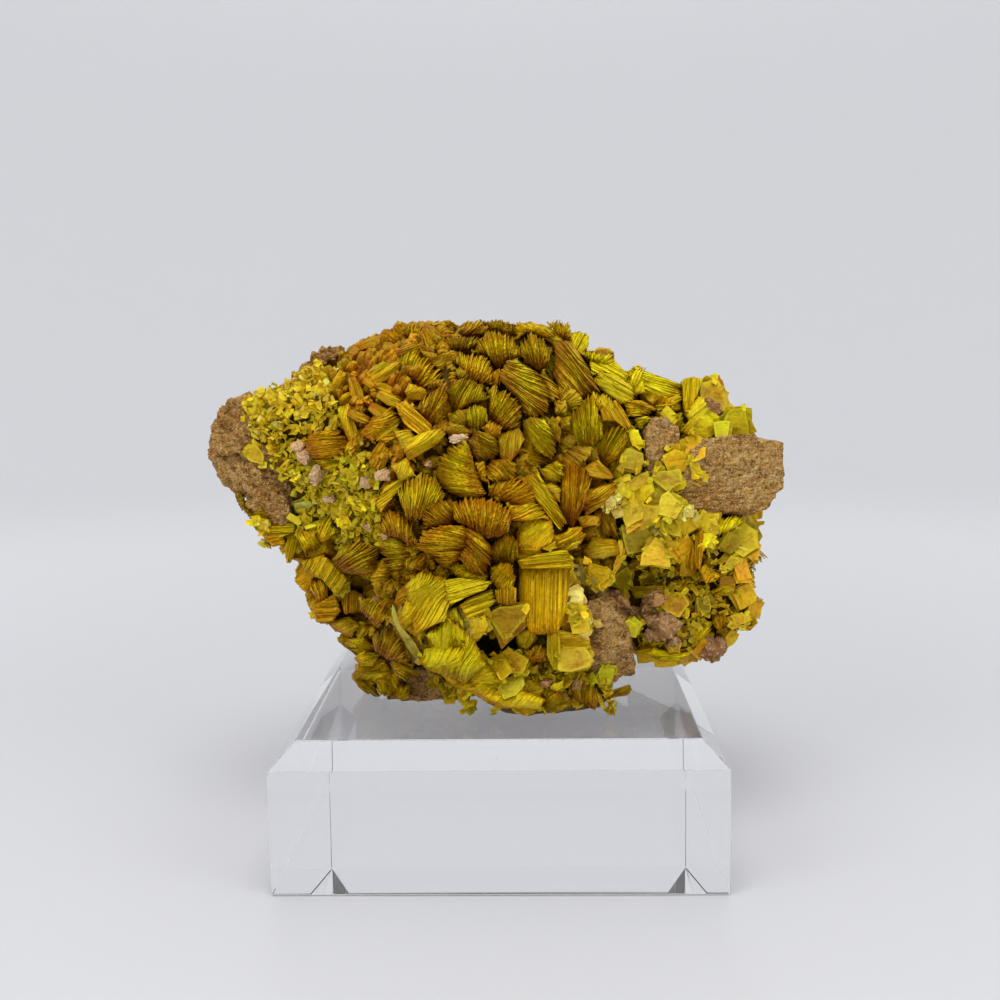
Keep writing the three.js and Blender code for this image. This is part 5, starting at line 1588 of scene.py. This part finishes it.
def grainMesh():
    form = bmesh.new()
    bmesh.ops.create_cube(form, size=2)
    bmesh.ops.subdivide_edges(form, edges=form.edges[:], cuts=grainForm["cuts"], use_grid_fill=True)
    form.verts.index_update()
    ways = unit(np.array([v.co for v in form.verts]))
    faces = np.array([[v.index for v in f.verts] for f in form.faces])
    form.free()
    rows = []
    for right, down, *size, off, tone in grains:  # in millimetres on the layout sheet, to a tenth
        x, z = (round(value, 1) for value in onGrid((right, down)))
        width, height = (round(steps * grid["step"], 1) for steps in size)
        rows.append((x, z, width, height, off, tone))
    for x, z, width, height, off, tone in rows[:]:  # brown ones are lumps of smaller grains
        for turn in dice.uniform(0, 2 * math.pi, grainForm["broken"] if tone == "brown" else 0):
            rows.append((x + 0.36 * width * math.cos(turn), z + 0.36 * height * math.sin(turn), width * 0.42,
                         height * 0.45, off + dice.uniform(-0.2, 0.5) * width * 0.5, tone))
    points, _, met = seenSkin(np.array([row[:2] for row in rows]))
    bodies, tints = [], []
    for (_, _, width, height, off, tone), at, there in zip(rows, points, met):
        if not there:
            continue
        planes = unit(dice.normal(0, 1, (grainForm["facets"], 3)))
        cut = dice.uniform(*grainForm["flat"], grainForm["facets"]) / np.maximum(ways @ planes.T, 0.05)
        radius = np.minimum(cut.min(1), 1) * (1 + grainForm["rough"] * dice.normal(0, 1, len(ways)))
        body = ways * radius[:, None] * np.array([width, (width + height) / 2, height]) / 2 * 1.15
        bodies.append(at + towardEye * min(off, 0.45 * (width + height)) + body)
        tints.append(varied(grainTones[tone], 0.1) + 0 * body)
    bodies = np.array(bodies)
    zeros = np.zeros((len(bodies), len(ways)))
    return joined("rock_grains", bodies, faces, np.array(tints), zeros, zeros[:, 0], bodies)


# body under the crystals, painted dark as shade between them and near black as shade in the hollows
bodyForm = {"detail": 6, "inset": 0.9, "lump": 0.5, "shade": 0.3, "hollow": 0.06, "back": 18}


def crystalBody():
    form = bmesh.new()
    bmesh.ops.create_icosphere(form, subdivisions=bodyForm["detail"], radius=1)
    ways = unit(np.array([v.co for v in form.verts]))
    points = inward(ways)
    normals = outward(points)
    for vertex, p, n in zip(form.verts, points, normals):
        rough = noise.fractal(Vector(p) * 0.9, 0.8, 2.1, 3)
        low = np.clip(p - n * (bodyForm["inset"] - bodyForm["lump"] * rough), boxLow, boxHigh)
        vertex.co = Vector((low[0], min(low[1], bodyForm["back"]), low[2])) * mm
    mesh = bpy.data.meshes.new("crystal_body")
    form.to_mesh(mesh)
    form.free()
    mesh.polygons.foreach_set("use_smooth", [True] * len(mesh.polygons))
    # painted shade: the body is painted at a fraction of the plates' colour, and far darker near the hollows
    hollow = np.min([lumpDistance(points, row) for row in hollows.values()], 0)
    shade = np.where(hollow < 1.5, bodyForm["hollow"], bodyForm["shade"])
    tint = np.ones((len(points), 4))
    tint[:, :3] = toneAt(points) * shade[:, None]
    mesh.attributes.new("tint", "FLOAT_COLOR", "POINT").data.foreach_set("color", tint.ravel())
    mesh.attributes.new("deep", "FLOAT", "POINT").data.foreach_set("value", np.full(len(points), 1.2))
    mesh.attributes.new("grown", "FLOAT_VECTOR", "POINT").data.foreach_set("vector", points.ravel())
    return mesh


# rock
rockForm = {"voxel": 0.6, "coarse": (5.0, 0.3), "medium": (1.7, 0.4), "fine": (0.75, 0.45), "sunk": 1.6,
            "deep": 9, "back": 0.7, "fewest": 400, "inset": 0.1}
# steps in the rock: how far apart, how uneven, how high on the left prow and elsewhere, where the prow starts
ledgeForm = {"apart": 4.4, "uneven": 7, "level": 0.6, "prow": 1.1, "elsewhere": 0.15, "prowX": -28}
# flat faces and ledges, drawn on the grid, and how far each stands off the rock behind it
rockFaces = [
    (1.0, [(702, 439), (742, 435), (784, 445), (785, 487), (769, 512), (750, 518), (700, 514), (676, 492),
        (690, 455)]),
    (0.5, [(206, 448), (211, 424), (215, 408), (229, 396), (247, 390), (264, 390), (258, 430), (250, 470),
        (232, 488), (214, 470)]),
    (1.5, [(214, 440), (226, 428), (244, 428), (262, 446), (258, 456), (238, 452), (216, 452)]),
    (2.1, [(233, 424), (247, 419), (257, 424), (257, 437), (240, 442)]),
    (1.3, [(226, 462), (246, 460), (270, 478), (290, 506), (282, 518), (254, 500), (232, 484)]),
    (0.6, [(240, 500), (262, 496), (292, 512), (290, 522), (264, 524), (250, 514)]),
    (1.2, [(585, 604), (600, 598), (606, 612), (607, 640), (607, 668), (597, 675), (588, 671), (585, 640)]),
    (0.2, [(607, 612), (620, 618), (633, 642), (632, 660), (607, 668)]),
    (0.8, [(618, 656), (631, 660), (637, 681), (624, 676)]),
    (0.8, [(645, 428), (655, 418), (668, 420), (679, 430), (677, 446), (664, 452), (660, 462), (646, 462)]),
    (-0.6, [(284, 387), (305, 364), (313, 352), (323, 345), (333, 343), (347, 346), (341, 357), (325, 364),
        (310, 376)]),
]


def rockSlab(form, off, corners):
    away, slope = seenPlane(corners, (rockTree,))
    middle = corners.mean(0)
    front = standing(corners, np.full(len(corners), float(off)), middle, away, slope)
    inner = middle + (corners - middle) * rockForm["back"]
    back = standing(inner, np.full(len(corners), -rockForm["deep"]), middle, away, slope)
    rims = [[form.verts.new(p * mm) for p in np.clip(ring, boxLow, boxHigh)] for ring in (front, back)]
    form.faces.new(rims[0])
    form.faces.new(rims[1][::-1])
    count = len(corners)
    for i in range(count):
        form.faces.new((rims[0][i], rims[1][i], rims[1][(i + 1) % count], rims[0][(i + 1) % count]))


def dropCrumbs(form, fewest):  # loose bits with fewer faces than this
    left = set(form.faces)
    while left:
        island, edge = set(), [left.pop()]
        while edge:
            face = edge.pop()
            island.add(face)
            for near in {f for e in face.edges for f in e.link_faces} & left:
                left.discard(near)
                edge.append(near)
        if len(island) < fewest:
            bmesh.ops.delete(form, geom=list(island), context="FACES")


def rockMesh():
    form = bmesh.new()
    form.from_mesh(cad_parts["matrix_rock"].data)
    bmesh.ops.remove_doubles(form, verts=form.verts[:], dist=1e-6)
    for off, corners in rockFaces:
        rockSlab(form, off, onGrid(corners))
    bmesh.ops.recalc_face_normals(form, faces=form.faces[:])
    mesh = bpy.data.meshes.new("rock")
    form.to_mesh(mesh)
    form.free()
    rough = bpy.data.objects.new("rock_rough", mesh)
    bpy.context.collection.objects.link(rough)
    remesh = rough.modifiers.new("remesh", "REMESH")
    remesh.mode = "VOXEL"
    remesh.voxel_size = rockForm["voxel"] * mm
    even = bpy.data.meshes.new_from_object(rough.evaluated_get(bpy.context.evaluated_depsgraph_get()))
    bpy.data.objects.remove(rough)
    bpy.data.meshes.remove(mesh)
    form = bmesh.new()
    form.from_mesh(even)
    dropCrumbs(form, rockForm["fewest"])
    form.to_mesh(even)
    form.free()
    count = len(even.vertices)
    points, normals = np.empty(count * 3), np.empty(count * 3)
    even.vertices.foreach_get("co", points)
    even.vertices.foreach_get("normal", normals)
    points, normals = points.reshape(-1, 3) / mm, normals.reshape(-1, 3)
    lift = np.zeros(count)
    for i, p in enumerate(points):
        here = Vector(p)
        for size, height in (rockForm["coarse"], rockForm["medium"], rockForm["fine"]):
            lift[i] += height * noise.noise(here / size)
        ledge = ((p[0] + p[2]) / ledgeForm["apart"] + noise.noise(here / ledgeForm["uneven"])) % 1
        high = ledgeForm["prow" if p[0] < ledgeForm["prowX"] else "elsewhere"]
        lift[i] += (ledge - ledgeForm["level"]) * high
    seen = onSheet(points)
    sunk = np.array([rockForm["sunk"] if onBareRock(x, z) else 0 for x, z in seen])
    points = np.clip(points + normals * (lift - rockForm["inset"] - sunk)[:, None], boxLow, boxHigh)
    even.vertices.foreach_set("co", (points * mm).ravel())
    even.update()
    even.polygons.foreach_set("use_smooth", [False] * len(even.polygons))
    even.name = "rock"
    return even


# clear block
blockForm = {"round": 0.2, "segments": 2}


def blockMesh():
    form = bmesh.new()
    form.from_mesh(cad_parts["display_block"].data)
    bmesh.ops.remove_doubles(form, verts=form.verts[:], dist=1e-6)
    bmesh.ops.dissolve_limit(form, angle_limit=math.radians(1), verts=form.verts[:], edges=form.edges[:])
    bmesh.ops.bevel(form, geom=form.edges[:], offset=blockForm["round"] * mm, offset_type="OFFSET",
                    segments=blockForm["segments"], profile=0.5, affect="EDGES", material=-1)
    mesh = bpy.data.meshes.new("clear_block")
    form.to_mesh(mesh)
    form.free()
    return mesh


# finishes
def autuniteFinish():
    made = Recipe("autunite")
    place, grown = made.place(), made.attribute("grown", "Vector")
    tint, deep, pale = made.attribute("tint", "Color"), made.attribute("deep"), made.attribute("pale")
    patches, speckle = made.grain(place, 1.4, 3), made.grain(place, 0.3, 2, 0.6)
    streaks = made.node("ShaderNodeTexNoise", {}, {
        "Vector": made.stretched(grown, (0.8, 2.2, 5.5)), "Scale": 1.0, "Detail": 3, "Roughness": 0.6,
        "Distortion": 0.5,
    })
    # painted shade: the deeper a part lies under the rims, the darker and browner it is painted, partly the
    # roots' own browner tone and partly shade in the recesses
    deepShadeAndBrown = made.step(deep + (patches - 0.5) * 2.4, 0.3, 1.9)
    colour = made.shaded(deepShadeAndBrown * 0.85, tint, (0.62, 0.4, 0.12))
    colour = made.shaded(made.step(streaks, 0.5, 0.34) * 0.75, colour, (0.62, 0.46, 0.3))
    colour = made.shaded(made.step(streaks, 0.54, 0.7) * 0.5, colour, (1.3, 1.4, 1.3))
    colour = made.shaded(made.step(speckle, 0.52, 0.7) * 0.4, colour, (0.7, 0.6, 0.4))
    mottle = made.grain(place, 0.6, 4, 0.7)
    colour = made.shaded(made.step(mottle, 0.5, 0.64) * 0.55, colour, (1.3, 1.36, 1.1))
    colour = made.shaded(made.step(mottle, 0.48, 0.36) * 0.45, colour, (0.66, 0.46, 0.3))
    # a paler colour painted on the rims, partly the rims' own paler tone and partly a painted highlight; pale
    # sets how much
    rim = made.step(deep + (speckle - 0.5) * 0.6, 0.34, 0.0)
    colour = made.mix(rim * pale * 0.5, colour, linear(228, 214, 40))
    relief = made.bump(streaks, 0.8, 0.22, made.bump(mottle, 0.6, 0.3))
    return made.finish({
        "Base Color": colour, "Roughness": made.step(speckle, 0.2, 0.8) * 0.25 + 0.34, "Normal": relief,
        "IOR": 1.58, "Specular IOR Level": 0.2, "Specular Tint": (1.0, 0.92, 0.6, 1),
        "Subsurface Weight": 0.12, "Subsurface Radius": (1.0, 0.6, 0.02), "Subsurface Scale": 1.0 * mm,
    })


def rockFinish():
    made = Recipe("rock")
    place = made.place()
    broad, spots = made.grain(place, 9, 3), made.grain(place, 1.0, 4, 0.75)
    fine = made.grain(place, 0.36, 3, 0.7)
    threads = made.grain(made.stretched(place, (0.45, 0.6, 1.3)), 0.8, 4, 0.7)
    colour = made.mix(made.step(broad, 0.35, 0.7), linear(202, 144, 62), linear(232, 180, 96))
    colour = made.mix(made.step(spots, 0.52, 0.62) * 0.8, colour, linear(124, 78, 26))
    colour = made.mix(made.step(threads, 0.53, 0.6) * 0.8, colour, linear(236, 196, 132))
    colour = made.mix(made.step(fine, 0.55, 0.66) * 0.6, colour, linear(104, 66, 24))
    colour = made.mix(made.step(threads, 0.46, 0.36) * 0.7, colour, linear(122, 76, 28))
    colour = made.mix(made.step(fine, 0.46, 0.38) * 0.6, colour, linear(250, 222, 170))
    relief = made.bump(threads, 1.0, 1.4, made.bump(fine, 1.0, 0.8))
    return made.finish({
        "Base Color": colour, "Roughness": 0.85, "Normal": relief, "Specular IOR Level": 0.15,
    })


def grainFinish():
    made = Recipe("rock_grains")
    coarse, fine = made.grain(made.place(), 0.8, 3, 0.7), made.grain(made.place(), 0.34, 3, 0.7)
    tint = made.attribute("tint", "Color")
    colour = made.shaded(made.step(fine, 0.5, 0.6) * 0.5, tint, (0.6, 0.5, 0.4))
    colour = made.mix(made.step(coarse, 0.48, 0.38) * 0.5, colour, linear(236, 206, 160))
    return made.finish({"Base Color": colour, "Roughness": 0.85, "Specular IOR Level": 0.15,
                        "Normal": made.bump(coarse, 0.8, 0.8, made.bump(fine, 0.8, 0.5))})


def blockFinish():
    made = Recipe("clear_block")
    haze = made.grain(made.place(), 14, 2)
    return made.finish({
        "Base Color": (0.985, 0.99, 1.0, 1), "Roughness": made.step(haze, 0.4, 0.8) * 0.015 + 0.005,
        "IOR": 1.28, "Transmission Weight": 1.0,
    })


autunite, rock, clearBlock = autuniteFinish(), rockFinish(), blockFinish()


def addPiece(mesh, material, node):
    piece = bpy.data.objects.new(mesh.name, mesh)
    bpy.context.collection.objects.link(piece)
    mesh.materials.clear()
    mesh.materials.append(material)
    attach(piece, "root")
    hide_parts(node)
    report(f"{mesh.name}: {sum(len(p.vertices) - 2 for p in mesh.polygons)} triangles")


addPiece(blockMesh(), clearBlock, "display_block")
addPiece(rockMesh(), rock, "matrix_rock")
addPiece(grainMesh(), grainFinish(), "matrix_rock")
addPiece(crystalBody(), autunite, "autunite_crust")
for bed in [*heroes.values(), *clumps.values(), *plates.values()]:
    addPiece(bed.mesh(), autunite, "autunite_crust")


# stage and light
stageForm = {"level": -0.0002, "floor": 0.55, "curve": 0.45, "wall": 0.9, "bends": 13, "turns": 64}
# name, place and size in metres, watts
lights = [
    ("top_light", (0.0, -0.3, 0.75), 0.5, 2.6),
    ("left_light", (-0.5, -0.45, 0.45), 0.5, 1.4),
    ("right_light", (0.55, -0.4, 0.4), 0.5, 1.0),
]
lightAim = (0, 0, 0.05)
worldStrength = 0.69


def addStage():
    form = bmesh.new()
    arc = [(stageForm["floor"] + stageForm["curve"] * math.sin(a), stageForm["curve"] * (1 - math.cos(a)))
           for a in np.linspace(0, math.pi / 2, stageForm["bends"])]
    profile = [(0, 0), (stageForm["floor"] * 0.5, 0), *arc, (arc[-1][0], stageForm["wall"])]
    line = [form.verts.new((x, 0, z + stageForm["level"])) for x, z in profile]
    edges = [form.edges.new(pair) for pair in zip(line, line[1:])]
    bmesh.ops.spin(form, geom=line + edges, cent=(0, 0, 0), axis=(0, 0, 1), angle=2 * math.pi,
                   steps=stageForm["turns"], use_merge=True)
    bmesh.ops.remove_doubles(form, verts=form.verts[:], dist=1e-5)
    bmesh.ops.recalc_face_normals(form, faces=form.faces[:])
    mesh = bpy.data.meshes.new("stage")
    form.to_mesh(mesh)
    form.free()
    mesh.polygons.foreach_set("use_smooth", [True] * len(mesh.polygons))
    made = Recipe("stage")
    flat = made.stretched(made.place(), (1, 1, 0))
    away = made.node("ShaderNodeVectorMath", {"operation": "LENGTH"}, {"Vector": flat}, output=1)
    # painted shade: the floor near the specimen is painted darker than further out and up the walls, evening
    # out the stronger light that falls on it from above
    colour = made.mix(made.step(away, 0.1, 0.4), (0.64, 0.645, 0.67), (0.79, 0.795, 0.82))
    mesh.materials.append(made.finish({"Base Color": colour, "Roughness": 0.3}))
    stage = bpy.data.objects.new("stage", mesh)
    bpy.context.collection.objects.link(stage)
    stage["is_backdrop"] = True


def addLight(name, place, size, watts):
    light = bpy.data.lights.new(name, "AREA")
    light.shape, light.size, light.energy = "DISK", size, watts
    lamp = bpy.data.objects.new(name, light)
    lamp.location = place
    lamp.rotation_euler = (-Vector(place) + Vector(lightAim)).to_track_quat("-Z", "Y").to_euler()
    bpy.context.collection.objects.link(lamp)


def addWorld():
    world = bpy.data.worlds.new("world")
    world.use_nodes = True
    background = world.node_tree.nodes["Background"]
    background.inputs["Color"].default_value = (1.0, 1.0, 1.0, 1)
    background.inputs["Strength"].default_value = worldStrength
    bpy.context.scene.world = world


addStage()
for row in lights:
    addLight(*row)
addWorld()
bpy.context.scene.view_settings.view_transform = "Standard"

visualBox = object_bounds()
boxes = {"cad": cadBox, "visual": visualBox}
{name: [list(corner) for corner in box] for name, box in boxes.items()}
report("done")
